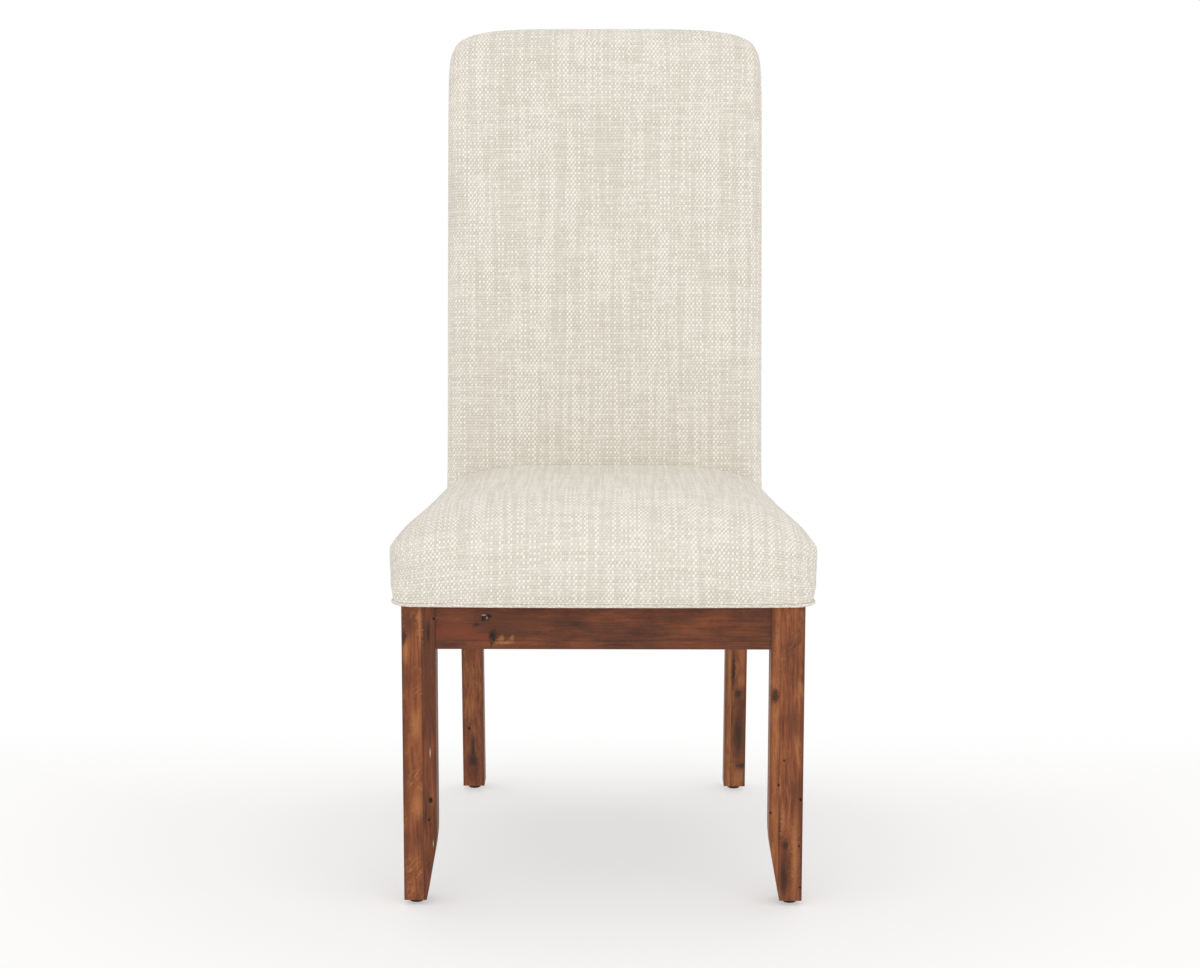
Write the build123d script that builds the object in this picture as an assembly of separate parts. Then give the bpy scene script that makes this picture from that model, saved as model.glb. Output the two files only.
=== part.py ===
"""Upholstered dining chair: a doweled hardwood frame, a screwed-down padded seat and a padded back.

Millimetres. The origin is on the floor, under the middle of the chair's outline.
+Z is up, +X is the viewer's right, and the chair faces -Y.
Pieces on the +X side are called right, and their mirror images left.
"""
from build123d import *
import math
import os

# Overall sizes
overall_height = 1068.0
hem_height = 375.0          # top of the wooden base, and the underside of the seat upholstery
seat_thickness = 122.0      # hem to the crown of the seat
seat_width = 518.0          # widest place, just behind the front corners
seat_depth = 460.0          # front of the seat to the front of the back, at the seat's shoulder
back_width = 432.0
back_lean = 9.0             # degrees behind the vertical

# Seat upholstery
crown_drop = 51.0           # from the crown down to the shoulder
crown_rear_drop = 23.0      # the crown falls by this much on its way to the back
crown_front_run = 115.0     # length over which the crown rises from the front edge
crown_side_run = 205.0      # and from the sides, but next to the back it rises as fast as at the front
crown_corner_growth = 10.0  # the corners get rounder up the crown by this much
seat_bulge_drop = 7.0       # from the shoulder down to the widest level
seat_draw_in = 3.6          # how far the sides pull in from the bulge to the hem
seat_front_bow = 6.0        # the front edge bulges forward at the middle
seat_corner_radius = 32.0
seat_front_overhang = 16.0  # the seat stands this far in front of the front legs
seat_side_overhang = 15.5   # and this far outside them
fabric = 1.5                # thickness of the cover
batting = 8.0               # polyester wrap under the cover
soft_gap = 0.3              # between one soft layer and the next
seat_board_thickness = 12.0
flange_width = 42.0         # cover turned under the seat board
dust_cover_thickness = 1.0
welt_diameter = 4.0
welt_proud = 1.6            # the welt stands out from the hem by this much

# Back upholstery
back_front_bow = 6.0
back_rear_bow = 2.0
back_front_radius = 24.0
back_rear_radius = 14.0
back_top_radius = 30.0      # rounding of the top edge, seen from the side
back_shoulder_run = 110.0   # length over which the sides draw in to the rounded top corners
back_shoulder_power = 8.0
back_shoulder_root = 5.0
back_front_padding = 30.0   # cover, foam and webbing in front of the posts
back_rear_padding = 11.0    # batting and cover behind the back board
back_side_padding = 16.0    # cover and foam outside the posts
back_top_padding = 26.0     # cover and foam above the posts
webbing_thickness = 1.6
webbing_width = 50.0
webbing_count = 5
back_board_thickness = 3.0
panel_margin = 26.0         # the front cover turns this far onto the rear face

# Wooden frame
front_leg_width = 41.0
front_leg_depth = 42.0
foot_width = 27.5
foot_taper_height = 76.0
foot_bend_radius = 180.0
rear_leg_width = 30.0
rear_foot_depth = 42.0
rear_foot_kick = 49.0       # the rear foot stands this far behind the knee
post_depth = 36.0           # front to back of the rear leg above the seat
knee_rise = 22.0            # the rear leg turns into the back post this far above the hem
knee_radius = 90.0
leg_hole_clearance = 1.5    # around the rear legs where they leave the back's cover
apron_height = 54.0
apron_thickness = 20.0
apron_setback = 2.0         # aprons stand back from the legs' faces
rear_apron_inset = 14.0     # rear apron's front face behind the rear leg's front face
crest_rail_height = 60.0
lower_rail_height = 50.0
lower_rail_rise = 12.0      # lower back rail above the seat's shoulder
back_rail_thickness = 24.0
edge_ease = 1.5
block_height = 38.0
front_block_reach = 50.0    # how far a corner block runs along each apron, past the leg
rear_block_reach = 86.0

# Fasteners and feet
dowel_diameter = 8.0
dowel_length = 36.0
dowel_pitch = 27.0          # between the two dowels of an apron joint
rail_dowel_pitch = 30.0     # between the two dowels of a back rail joint
hole_clearance = 0.1        # radial, around dowels, screws and nails
dowel_end_gap = 1.0
screw_diameter = 4.5
screw_head_diameter = 9.0
screw_head_height = 3.0
driver_room = 60.0          # length of the sunk hole behind a screw head
block_screw_length = 27.0
block_screw_bite = 13.0     # thread in the apron
block_screw_inset = 13.0    # from the tip of the block
seat_screw_bite = 9.0       # thread in the seat board
seat_screw_edge = 16.0      # from the front leg, or from the board's rear edge
glide_diameter = 17.0
glide_height = 7.0
glide_edge = 1.2
nail_diameter = 3.0
nail_in_glide = 4.0
nail_in_leg = 16.0

# Heights
seat_height = hem_height + seat_thickness
shoulder_height = seat_height - crown_drop
knee_height = hem_height + knee_rise
apron_bottom = hem_height - apron_height
apron_middle = hem_height - apron_height / 2
ledge_height = hem_height + welt_diameter + soft_gap
seat_board_bottom = hem_height + fabric
seat_board_top = seat_board_bottom + seat_board_thickness

# The back's own frame: rise runs up the lean from the shoulder, depth runs square to its front face
lean = math.radians(back_lean)
lean_sin, lean_cos, lean_tan = math.sin(lean), math.cos(lean), math.tan(lean)
post_front = back_front_padding
post_rear = post_front + post_depth
board_rear = post_rear + back_board_thickness
back_thickness = board_rear + back_rear_padding
roll_centre_rise = (overall_height - shoulder_height - back_top_radius * (1 - lean_sin)) / lean_cos
back_top = roll_centre_rise + back_top_radius
post_top = back_top - back_top_padding

# Places along the chair: the whole depth is centred on the origin
whole_depth = (seat_depth + roll_centre_rise * lean_sin
               + (back_thickness - back_top_radius) * lean_cos + back_top_radius)
seat_front_y = -whole_depth / 2
back_y = seat_front_y + seat_depth
leg_front_y = seat_front_y + seat_front_overhang
leg_rear_y = leg_front_y + front_leg_depth
back_plane = Plane(origin=(0, back_y, shoulder_height), x_dir=(1, 0, 0), z_dir=(0, lean_sin, lean_cos))

# Places across the chair
leg_outer_x = seat_width / 2 - seat_side_overhang
leg_inner_x = leg_outer_x - front_leg_width
rear_outer_x = back_width / 2 - back_side_padding
rear_inner_x = rear_outer_x - rear_leg_width
far = 3 * overall_height    # size of the blocks that trim other shapes


# Small helpers

def back_point(rise, depth):
    """(y, z) of a point that far up the back and that far behind its front face."""
    return (back_y + rise * lean_sin + depth * lean_cos, shoulder_height + rise * lean_cos - depth * lean_sin)


def box_between(low, high):
    """Axis-aligned block between two corners."""
    size = [h - l for l, h in zip(low, high)]
    return Box(*size, align=(Align.MIN, Align.MIN, Align.MIN)).moved(Location(low))


def above(z):
    """Everything above height z."""
    return box_between((-far, -far, z), (far, far, z + far))


def back_block(half_width, depths, rises):
    """Block in the back's own frame, between two depths and two rises."""
    low = (-half_width, depths[0], rises[0])
    high = (half_width, depths[1], rises[1])
    return back_plane * box_between(low, high)


def rod(centre, direction, diameter, length):
    """Cylinder centred on a point, along a direction."""
    return Plane(origin=centre, z_dir=direction) * Cylinder(diameter / 2, length)


def outline_prism(points, low, high):
    """Plan outline raised from one height to another."""
    face = make_face(Polyline(*points, close=True))
    return extrude(Pos(0, 0, low) * face, amount=high - low, dir=(0, 0, 1))


def rounded_corner(face, point, radius):
    """Rounds the corner of a face nearest to a point."""
    corner = min(face.vertices(), key=lambda v: (Vector(v) - Vector(point)).length)
    return fillet(corner, radius)


def mirrored(shape):
    """The same piece for the other side of the chair."""
    return mirror(shape, about=Plane.YZ)


def both_sides(shapes):
    """Every solid of the shapes and of their mirror images."""
    return [solid for shape in shapes for solid in (*shape.solids(), *mirrored(shape).solids())]


def profile_edges(bar, across):
    """Edges of a bar's two profile faces, without those on its upper and lower ends."""
    box = bar.bounding_box()
    return [e for e in bar.edges()
            if abs(e.tangent_at(0.5).dot(Vector(across))) < 0.5
            and box.min.Z + edge_ease < e.center().Z < box.max.Z - edge_ease]


# Padded outlines: two bowed ends, two straight sides and tangent corner arcs

def end_corner(side_start, side_end, apex_y, bow, radius):
    """Corner between a side that runs from side_start to side_end and a bowed end with its apex at (0, apex_y).

    Returns the corner's first, middle and last point, on the +X side.
    """
    start, end = Vector(*side_start), Vector(*side_end)
    along = (end - start).normalized()
    outward = Vector(abs(along.Y), -along.X * math.copysign(1, along.Y))
    end_radius = (end.X ** 2 + bow ** 2) / (2 * bow)
    end_centre = Vector(0, apex_y - end_radius * math.copysign(1, along.Y))
    base = end - outward * radius
    offset = base - end_centre
    b = offset.dot(along)
    c = offset.dot(offset) - (end_radius - radius) ** 2
    centre = base + along * (-b + math.sqrt(b * b - c))
    first = centre + outward * radius
    last = end_centre + (centre - end_centre).normalized() * end_radius
    middle = centre + ((first - centre) + (last - centre)).normalized() * radius
    return first, middle, last


def flipped(point):
    return Vector(-point.X, point.Y)


def front_run(side_start, front_corner, apex_y, bow, radius):
    """Edges from the right side's start, round the bowed front, to the left side's end."""
    first, middle, last = end_corner(side_start, front_corner, apex_y, bow, radius)
    start = Vector(*side_start)
    return [Line(start, first),
            ThreePointArc(first, middle, last),
            ThreePointArc(last, Vector(0, apex_y), flipped(last)),
            ThreePointArc(flipped(last), flipped(middle), flipped(first)),
            Line(flipped(first), flipped(start))]


# Seat

hem_tuck = welt_diameter - welt_proud + soft_gap      # the hem stands back behind the welt
hem_inset = seat_draw_in + hem_tuck
crown_shares = (0.12, 0.26, 0.41, 0.53, 0.63, 0.74, 0.84, 0.92)   # places up the crown's quarter ellipse
crown_rise = (crown_drop + seat_bulge_drop) / crown_shares[-1]    # height of the whole ellipse
rear_rise = crown_rise - crown_rear_drop
side_shares = (0.0, 0.35, 0.7, 1.0)                   # places between the hem and the bulge
widest_y = seat_front_y + seat_front_bow + seat_corner_radius
seat_taper = (seat_width - back_width) / 2 / (back_y - widest_y)
bow_radius = ((back_width / 2) ** 2 + back_front_bow ** 2) / (2 * back_front_bow)


def seat_half_width(y):
    return seat_width / 2 - seat_taper * (y - widest_y)


def seat_rear_y(x, z, inset):
    """Y of the seat's rear face, which follows the bowed front of the back."""
    bow = math.sqrt(bow_radius ** 2 - x ** 2) - (bow_radius - back_front_bow)
    return back_y + (z - shoulder_height) * lean_tan - bow / lean_cos - soft_gap - inset


def crown_in(share):
    """How much of its run a quarter ellipse has drawn in, at a share of its rise."""
    return 1 - math.sqrt(1 - min(share, 1.0) ** 2)


def seat_edges(inset, draw_in, z, crown=0.0):
    """Seat outline at height z, that far inside the widest one and at a share of the crown's rise.

    Above the level at which the crown meets the back, the rear edge comes forward along the falling top.
    """
    setback = inset + draw_in
    front_y = seat_front_y + setback + crown_front_run * crown_in(crown)
    front_bow = seat_front_bow * (1 - crown / 2)
    radius = max(seat_corner_radius - setback, fabric) + crown_corner_growth * crown
    widest_front = seat_half_width(seat_front_y + seat_front_bow + setback) - setback
    front_corner = (widest_front - crown_side_run * crown_in(crown), front_y + front_bow)
    level = crown * crown_rise
    forward = max(level - rear_rise, 0) / crown_rear_drop
    shift = forward * (seat_depth - crown_front_run)
    rear_run = crown_front_run + (crown_side_run - crown_front_run) * forward
    rear_half = seat_half_width(back_y - shift) - setback - rear_run * crown_in(level / rear_rise)
    rear_corner = (rear_half, seat_rear_y(rear_half, z, inset) - shift)
    sides_and_front = front_run(rear_corner, front_corner, front_y, front_bow, radius)
    start, end = sides_and_front[0] @ 0, sides_and_front[-1] @ 1
    rear = ThreePointArc(end, Vector(0, seat_rear_y(0, z, inset) - shift), start)
    return sides_and_front, rear


def seat_face(inset, draw_in, z, crown=0.0):
    sides_and_front, rear = seat_edges(inset, draw_in, z, crown)
    return Pos(0, 0, z) * make_face([*sides_and_front, rear])


def seat_slab(inset, draw_in, low, high):
    """Flat slab with the seat's outline."""
    return extrude(seat_face(inset, draw_in, low), amount=high - low, dir=(0, 0, 1))


def seat_form(inset):
    """Seat cushion: tucked hem, sides that swell to the bulge, and a domed crown that falls to the rear."""
    ledge = ledge_height + inset
    bulge = shoulder_height - seat_bulge_drop - inset
    swell_start = ledge + fabric / 2
    levels = [(hem_height, hem_inset, 0.0), (ledge, hem_inset, 0.0)]
    levels += [(swell_start + (bulge - swell_start) * share, seat_draw_in * (1 - share) ** 2, 0.0)
               for share in side_shares]
    levels += [(bulge + crown_rise * share, 0.0, share) for share in crown_shares]
    return loft([seat_face(inset, draw_in, z, crown) for z, draw_in, crown in levels], ruled=True)


def make_seat_board():
    return seat_slab(fabric + soft_gap, hem_inset, seat_board_bottom, seat_board_top)


def make_seat_cover():
    """Cover with its hem turned under the seat board as a flange."""
    cavity = seat_form(fabric) & above(seat_board_bottom)
    opening = seat_slab(flange_width, 0, hem_height, hem_height + 2 * fabric)
    return seat_form(0) - cavity - opening


def make_seat_batting():
    outer = fabric + soft_gap
    return (seat_form(outer) - seat_form(outer + batting)) & above(seat_board_top)


def make_seat_foam():
    return seat_form(fabric + batting + 2 * soft_gap) & above(seat_board_top)


def make_dust_cover():
    low = seat_board_bottom - dust_cover_thickness
    return seat_slab(flange_width + soft_gap, 0, low, seat_board_bottom)


def make_seat_welt():
    """Covered cord along the two sides and the front of the hem."""
    middle_height = hem_height + welt_diameter / 2
    middle_inset = seat_draw_in - welt_proud + welt_diameter / 2
    sides_and_front, _ = seat_edges(0, middle_inset, middle_height)
    path = Wire(sides_and_front).moved(Location((0, 0, middle_height)))
    section = Plane(origin=path @ 0, z_dir=path % 0) * Circle(welt_diameter / 2)
    return sweep(section, path=path)


# Back upholstery

roll_shares = (0.02, 0.07, 0.15, 0.27, 0.45, 0.7, 1.0)   # places down the rolled top edge
shoulder_shares = (0.45, 0.7, 1.0)                       # places down the rounded shoulders
radius_limit = 0.9                                       # a corner takes at most this share of its side
back_foot = 2 * (hem_height - shoulder_height)           # the form starts well below the hem, to be cut there


def back_half_width(drop):
    """Half width that far below the top: full below the shoulders, drawn in to the rounded top corners."""
    share = min(drop / back_shoulder_run, 1.0)
    return back_width / 2 * (1 - (1 - share) ** back_shoulder_power) ** (1 / back_shoulder_root)


def roll_in(drop):
    """How far the front and rear faces draw in, that far below the top."""
    left = max(back_top_radius - drop, 0.0)
    return back_top_radius - math.sqrt(back_top_radius ** 2 - left ** 2)


def back_face(inset, drop, rise):
    """Back outline square to the lean, that far below the top, that far inside the cover."""
    half = back_half_width(drop) - inset
    front, rear = inset + roll_in(drop), back_thickness - inset - roll_in(drop)
    room = radius_limit * (rear - front) / 2
    front_radius = min(max(back_front_radius - inset, fabric), room)
    rear_radius = min(max(back_rear_radius - inset, fabric), room)
    front_corner, rear_corner = (half, front), (half, rear)
    first, middle, last = end_corner(front_corner, rear_corner, rear + back_rear_bow, back_rear_bow, rear_radius)
    edges = front_run(tuple(first)[:2], front_corner, front - back_front_bow, back_front_bow, front_radius)
    edges += [ThreePointArc(flipped(first), flipped(middle), flipped(last)),
              ThreePointArc(flipped(last), Vector(0, rear + back_rear_bow), last),
              ThreePointArc(last, middle, first)]
    return back_plane * (Pos(0, 0, rise) * make_face(edges))


def back_form(inset, floor):
    """Padded back: upright sides, rounded top corners and a rolled top edge, cut flat at floor."""
    drops = [back_top_radius * share for share in roll_shares]
    drops += [back_shoulder_run * share for share in shoulder_shares]
    levels = [(back_foot, back_shoulder_run)]
    levels += [(back_top - inset - drop, drop) for drop in reversed(drops)]
    return loft([back_face(inset, drop, rise) for rise, drop in levels], ruled=True) & above(floor)


def make_back_shell():
    """Cover of the whole back, closed underneath except where the rear legs come out."""
    shell = back_form(0, hem_height) - back_form(fabric, hem_height + fabric)
    low = (rear_inner_x - soft_gap, rear_leg_front_y(hem_height) - soft_gap, hem_height - fabric)
    high = (rear_outer_x + soft_gap, rear_leg_rear_y(hem_height) + leg_hole_clearance, hem_height + 2 * fabric)
    hole = box_between(low, high)
    return shell - hole - mirrored(hole)


def rear_panel_region():
    """Part of the rear face that the outside back panel covers."""
    depths = (back_thickness - 2 * fabric, far)
    return back_block(back_width / 2 - panel_margin, depths, (back_foot, back_top - panel_margin))


def frame_space():
    """Room inside the back for the posts, rails, webbing and board."""
    depths = (post_front - webbing_thickness - soft_gap, far)
    return back_block(rear_outer_x + soft_gap, depths, (2 * back_foot, post_top + soft_gap))


def make_back_foam():
    return back_form(fabric + soft_gap, hem_height + fabric + soft_gap) - frame_space()


def make_rear_batting():
    space = back_block(rear_outer_x, (board_rear, far), (board_foot, post_top))
    return back_form(fabric + soft_gap, hem_height) & space


def make_back_board():
    return back_block(rear_outer_x, (post_rear, board_rear), (board_foot, post_top))


# Back frame

crest_rail_rises = (post_top - crest_rail_height, post_top)
lower_rail_rises = (lower_rail_rise, lower_rail_rise + lower_rail_height)


def make_webbing():
    """Elastic straps across the fronts of the posts, evenly spaced between the two rails."""
    low, high = lower_rail_rises[1], crest_rail_rises[0]
    gap = (high - low - webbing_count * webbing_width) / (webbing_count + 1)
    depths = (post_front - webbing_thickness, post_front)
    bottoms = [low + gap + n * (webbing_width + gap) for n in range(webbing_count)]
    return [back_block(rear_outer_x, depths, (bottom, bottom + webbing_width)) for bottom in bottoms]


def make_back_rail(rises):
    return back_block(rear_inner_x, (post_front, post_front + back_rail_thickness), rises)


# Legs

knee_up_back = (knee_height - shoulder_height + post_front * lean_sin) / lean_cos
knee_front = back_point(knee_up_back, post_front)
knee_rear = back_point(knee_up_back, post_rear)
rear_foot_y = knee_front[0] + rear_foot_kick
front_rake_tan = rear_foot_kick / (knee_front[1] - glide_height)
rear_rake_tan = (rear_foot_y + rear_foot_depth - knee_rear[0]) / (knee_rear[1] - glide_height)
hollow_radius = knee_radius + post_depth                # blend in the hollow behind the knee
hollow_run = hollow_radius * math.tan((lean + math.atan(rear_rake_tan)) / 2)
board_foot = knee_up_back + hollow_run + soft_gap       # the back board starts above that blend


def rear_leg_front_y(z):
    """Y of the rear leg's front face at a height below the knee."""
    return knee_front[0] + (knee_front[1] - z) * front_rake_tan


def rear_leg_rear_y(z):
    """Y of the rear leg's rear face at a height below the knee."""
    return knee_rear[0] + (knee_rear[1] - z) * rear_rake_tan


def make_front_leg():
    """Square leg whose inner face bends outwards to a narrow foot."""
    bend = (leg_inner_x, glide_height + foot_taper_height)
    points = [(leg_outer_x, glide_height), (leg_outer_x, hem_height), (leg_inner_x, hem_height), bend,
              (leg_outer_x - foot_width, glide_height)]
    profile = rounded_corner(make_face(Polyline(*points, close=True)), bend, foot_bend_radius)
    bar = extrude(Plane.XZ.offset(-leg_front_y) * profile, amount=front_leg_depth, dir=(0, 1, 0))
    return fillet(profile_edges(bar, (0, 1, 0)), edge_ease)


def make_rear_leg():
    """One-piece rear leg and back post, raked below the seat and leaning above it."""
    points = [(rear_foot_y, glide_height), knee_front, back_point(post_top, post_front),
              back_point(post_top, post_rear), knee_rear, (rear_foot_y + rear_foot_depth, glide_height)]
    profile = make_face(Polyline(*points, close=True))
    profile = rounded_corner(profile, knee_front, knee_radius)
    profile = rounded_corner(profile, knee_rear, hollow_radius)
    bar = extrude(Plane.YZ.offset(rear_inner_x) * profile, amount=rear_leg_width, dir=(1, 0, 0))
    below_seat = [e for e in profile_edges(bar, (1, 0, 0)) if e.center().Z < hem_height]
    return fillet(below_seat, edge_ease)


# Aprons

front_apron_y = leg_front_y + apron_setback
rear_apron_y = rear_leg_front_y(apron_middle) + rear_apron_inset
side_front = Vector(leg_outer_x - apron_setback, leg_rear_y)
side_rear = Vector(rear_outer_x - apron_setback, rear_leg_front_y(apron_middle))
side_along = (side_rear - side_front).normalized()
side_inward = Vector(-side_along.Y, side_along.X)


def side_inner_x(y):
    """X of the right side apron's inner face at a place along the chair."""
    start = side_front + side_inward * apron_thickness
    return start.X + (y - start.Y) * side_along.X / side_along.Y


def make_cross_apron(half_length, front_y):
    bar = box_between((-half_length, front_y, apron_bottom), (half_length, front_y + apron_thickness, hem_height))
    lower = [e for e in bar.edges().filter_by(Axis.X) if e.center().Z < apron_middle]
    return fillet(lower, edge_ease)


def make_side_apron():
    """Angled apron, cut to the front leg's rear face and the raked front face of the rear leg."""
    over = side_along * front_leg_depth
    inner = side_inward * apron_thickness
    corners = [side_front - over, side_rear + over, side_rear + over + inner, side_front - over + inner]
    bar = outline_prism([(p.X, p.Y) for p in corners], apron_bottom, hem_height)
    lower = [e for e in bar.edges().group_by(Axis.Z)[0] if e.length > 2 * apron_thickness]
    bar = fillet(lower, edge_ease)
    ends = [(leg_rear_y, apron_bottom), (rear_leg_front_y(apron_bottom), apron_bottom),
            (rear_leg_front_y(hem_height), hem_height), (leg_rear_y, hem_height)]
    between_legs = extrude(Plane.YZ * make_face(Polyline(*ends, close=True)), amount=far, dir=(1, 0, 0))
    return bar & between_legs


# Corner blocks and screws

class Corner:
    """Right-hand corner of the seat frame: a cross apron, the side apron and the leg between them.

    inward is 1 where the frame lies behind the cross apron, and -1 where it lies in front of it.
    """

    def __init__(self, apron_face_y, leg_inner, leg_face_y, block_reach, inward, seat_screw_y):
        self.inward = inward
        self.seat_screw_y = seat_screw_y
        self.apron_tip = Vector(leg_inner - block_reach, apron_face_y)
        side_tip_y = leg_face_y + inward * block_reach
        self.side_tip = Vector(side_inner_x(side_tip_y), side_tip_y)
        self.back = Vector(side_inner_x(apron_face_y), apron_face_y)

    def block(self, leg):
        """Triangular block in the corner, notched round the leg."""
        outline = [(p.X, p.Y) for p in (self.apron_tip, self.back, self.side_tip)]
        return outline_prism(outline, hem_height - block_height, hem_height) - leg

    def block_screws(self):
        """Seat of the head, direction and length of the screws into the cross apron and the side apron."""
        stand = block_screw_length - block_screw_bite
        into_cross = Vector(0, -self.inward)
        into_side = side_inward * -1
        cross_seat = self.apron_tip + Vector(block_screw_inset, 0) - into_cross * stand
        side_seat = self.side_tip - side_along * (self.inward * block_screw_inset) - into_side * stand
        level = Vector(0, 0, hem_height - block_height / 2)
        return [(cross_seat + level, into_cross, block_screw_length),
                (side_seat + level, into_side, block_screw_length)]

    def seat_screw(self):
        """Screw up through the block, midway between the side apron and the block's long face."""
        share = (self.seat_screw_y - self.apron_tip.Y) / (self.side_tip.Y - self.apron_tip.Y)
        long_face_x = self.apron_tip.X + share * (self.side_tip.X - self.apron_tip.X)
        x = (long_face_x + side_inner_x(self.seat_screw_y)) / 2
        head_seat = Vector(x, self.seat_screw_y, hem_height - block_height)
        return head_seat, Vector(0, 0, 1), block_height + fabric + seat_screw_bite


seat_rear_edge = seat_rear_y(seat_half_width(back_y), seat_board_bottom, fabric + soft_gap)
front_corner = Corner(front_apron_y + apron_thickness, leg_inner_x, leg_rear_y, front_block_reach, 1,
                      leg_rear_y + seat_screw_edge)
rear_corner = Corner(rear_apron_y, rear_inner_x, rear_leg_front_y(hem_height), rear_block_reach, -1,
                     seat_rear_edge - seat_screw_edge)


def screw(seat, along, length):
    """Round-headed screw whose head sits on seat."""
    shank = rod(seat + along * (length / 2), along, screw_diameter, length)
    head = rod(seat - along * (screw_head_height / 2), along, screw_head_diameter, screw_head_height)
    return shank + head


def screw_hole(seat, along, length):
    """Clearance for a screw: its shank, and a sunk hole for its head and the driver."""
    shank_length = length + hole_clearance
    shank = rod(seat + along * (shank_length / 2), along, screw_diameter + 2 * hole_clearance, shank_length)
    sunk = rod(seat - along * (driver_room / 2), along, screw_head_diameter + 2 * hole_clearance, driver_room)
    return shank + sunk


# Dowels of the right-hand side, as pairs of a middle and a direction

def dowel_pair(middle, along, pitch, up=Vector(0, 0, 1)):
    return [(middle + up * (pitch / 2 * side), along) for side in (-1, 1)]


def apron_dowels(place, along):
    return dowel_pair(Vector(place[0], place[1], apron_middle), along, dowel_pitch)


def rail_dowels(rises):
    y, z = back_point(sum(rises) / 2, post_front + back_rail_thickness / 2)
    return dowel_pair(Vector(rear_inner_x, y, z), Vector(1, 0, 0), rail_dowel_pitch, Vector(0, lean_sin, lean_cos))


half_apron = side_inward * (apron_thickness / 2)
base_joints = (apron_dowels((leg_inner_x, front_apron_y + apron_thickness / 2), Vector(1, 0, 0))
               + apron_dowels(tuple(side_front + half_apron), side_along)
               + apron_dowels(tuple(side_rear + half_apron), side_along)
               + apron_dowels((rear_inner_x, rear_apron_y + apron_thickness / 2), Vector(1, 0, 0)))
back_joints = rail_dowels(crest_rail_rises) + rail_dowels(lower_rail_rises)


def dowels(joints):
    return [rod(middle, along, dowel_diameter, dowel_length) for middle, along in joints]


def dowel_holes(joints):
    diameter, length = dowel_diameter + 2 * hole_clearance, dowel_length + 2 * dowel_end_gap
    return [rod(middle, along, diameter, length) for middle, along in joints]


# Feet

front_foot = (leg_outer_x - foot_width / 2, leg_front_y + front_leg_depth / 2)
rear_foot = (rear_outer_x - rear_leg_width / 2, rear_foot_y + rear_foot_depth / 2)


def make_nail(foot, clearance=0.0):
    """Nail that holds a glide in the foot, or with a clearance the hole for it."""
    length = nail_in_glide + nail_in_leg + 2 * clearance
    middle = glide_height + (nail_in_leg - nail_in_glide) / 2
    return Pos(foot[0], foot[1], middle) * Cylinder(nail_diameter / 2 + clearance, length)


def make_glide(foot):
    disc = Pos(foot[0], foot[1], glide_height / 2) * Cylinder(glide_diameter / 2, glide_height)
    disc = fillet(disc.edges().group_by(Axis.Z)[0], glide_edge)
    return disc - make_nail(foot, hole_clearance)


# Assembly

def wooden_pieces(block_holes, seat_holes):
    """Legs, aprons, corner blocks and back rails, drilled for their dowels, screws and nails."""
    base_holes, back_holes = dowel_holes(base_joints), dowel_holes(back_joints)
    front_leg = make_front_leg() - base_holes - make_nail(front_foot, hole_clearance)
    rear_leg = make_rear_leg() - base_holes - back_holes - make_nail(rear_foot, hole_clearance)
    sided = {
        "front_leg": front_leg,
        "rear_leg": rear_leg,
        "side_apron": make_side_apron() - base_holes - block_holes,
        "corner_block_front": front_corner.block(front_leg) - block_holes - seat_holes,
        "corner_block_rear": rear_corner.block(rear_leg) - block_holes - seat_holes,
    }
    pieces = {f"{name}_right": shape for name, shape in sided.items()}
    pieces.update({f"{name}_left": mirrored(shape) for name, shape in sided.items()})
    cross_holes = both_sides(base_holes + block_holes)
    rail_holes = both_sides(back_holes)
    pieces["front_apron"] = make_cross_apron(leg_inner_x, front_apron_y) - cross_holes
    pieces["rear_apron"] = make_cross_apron(rear_inner_x, rear_apron_y) - cross_holes
    pieces["crest_rail"] = make_back_rail(crest_rail_rises) - rail_holes
    pieces["lower_back_rail"] = make_back_rail(lower_rail_rises) - rail_holes
    return pieces


def fasteners_and_feet(block_screws, seat_screws):
    """Dowels, screws and nails, each kind as one group, and the four glides."""
    pieces = {
        "base_dowels": Compound(both_sides(dowels(base_joints))),
        "back_frame_dowels": Compound(both_sides(dowels(back_joints))),
        "corner_block_screws": Compound(both_sides([screw(*s) for s in block_screws])),
        "seat_screws": Compound(both_sides([screw(*s) for s in seat_screws])),
        "glide_nails": Compound(both_sides([make_nail(front_foot), make_nail(rear_foot)])),
    }
    for end, foot in (("front", front_foot), ("rear", rear_foot)):
        glide = make_glide(foot)
        pieces[f"glide_{end}_right"] = glide
        pieces[f"glide_{end}_left"] = mirrored(glide)
    return pieces


def seat_pieces(seat_holes):
    holes = both_sides(seat_holes)
    return {
        "seat_board": make_seat_board() - holes,
        "seat_foam": make_seat_foam(),
        "seat_batting": make_seat_batting(),
        "seat_cover": make_seat_cover() - holes,
        "seat_welt": make_seat_welt(),
        "seat_dust_cover": make_dust_cover() - holes,
    }


def back_pieces():
    shell, panel = make_back_shell(), rear_panel_region()
    return {
        "back_webbing": Compound([solid for strap in make_webbing() for solid in strap.solids()]),
        "back_foam": make_back_foam(),
        "back_board": make_back_board(),
        "back_rear_batting": make_rear_batting(),
        "back_cover": shell - panel,
        "outside_back_panel": shell & panel,
    }


block_screws = front_corner.block_screws() + rear_corner.block_screws()
seat_screws = [front_corner.seat_screw(), rear_corner.seat_screw()]
block_holes = [screw_hole(*s) for s in block_screws]
seat_holes = [screw_hole(*s) for s in seat_screws]

chair = {
    **wooden_pieces(block_holes, seat_holes),
    **fasteners_and_feet(block_screws, seat_screws),
    **seat_pieces(seat_holes),
    **back_pieces(),
}

os.makedirs("parts", exist_ok=True)
for node, shape in chair.items():
    export_step(shape, f"parts/{node}.step")
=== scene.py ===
"""Upholstered dining chair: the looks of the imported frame, in metres and in the frame's own axes.

+Z is up, +X is the viewer's right, and the chair faces -Y.
"""
import math

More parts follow.
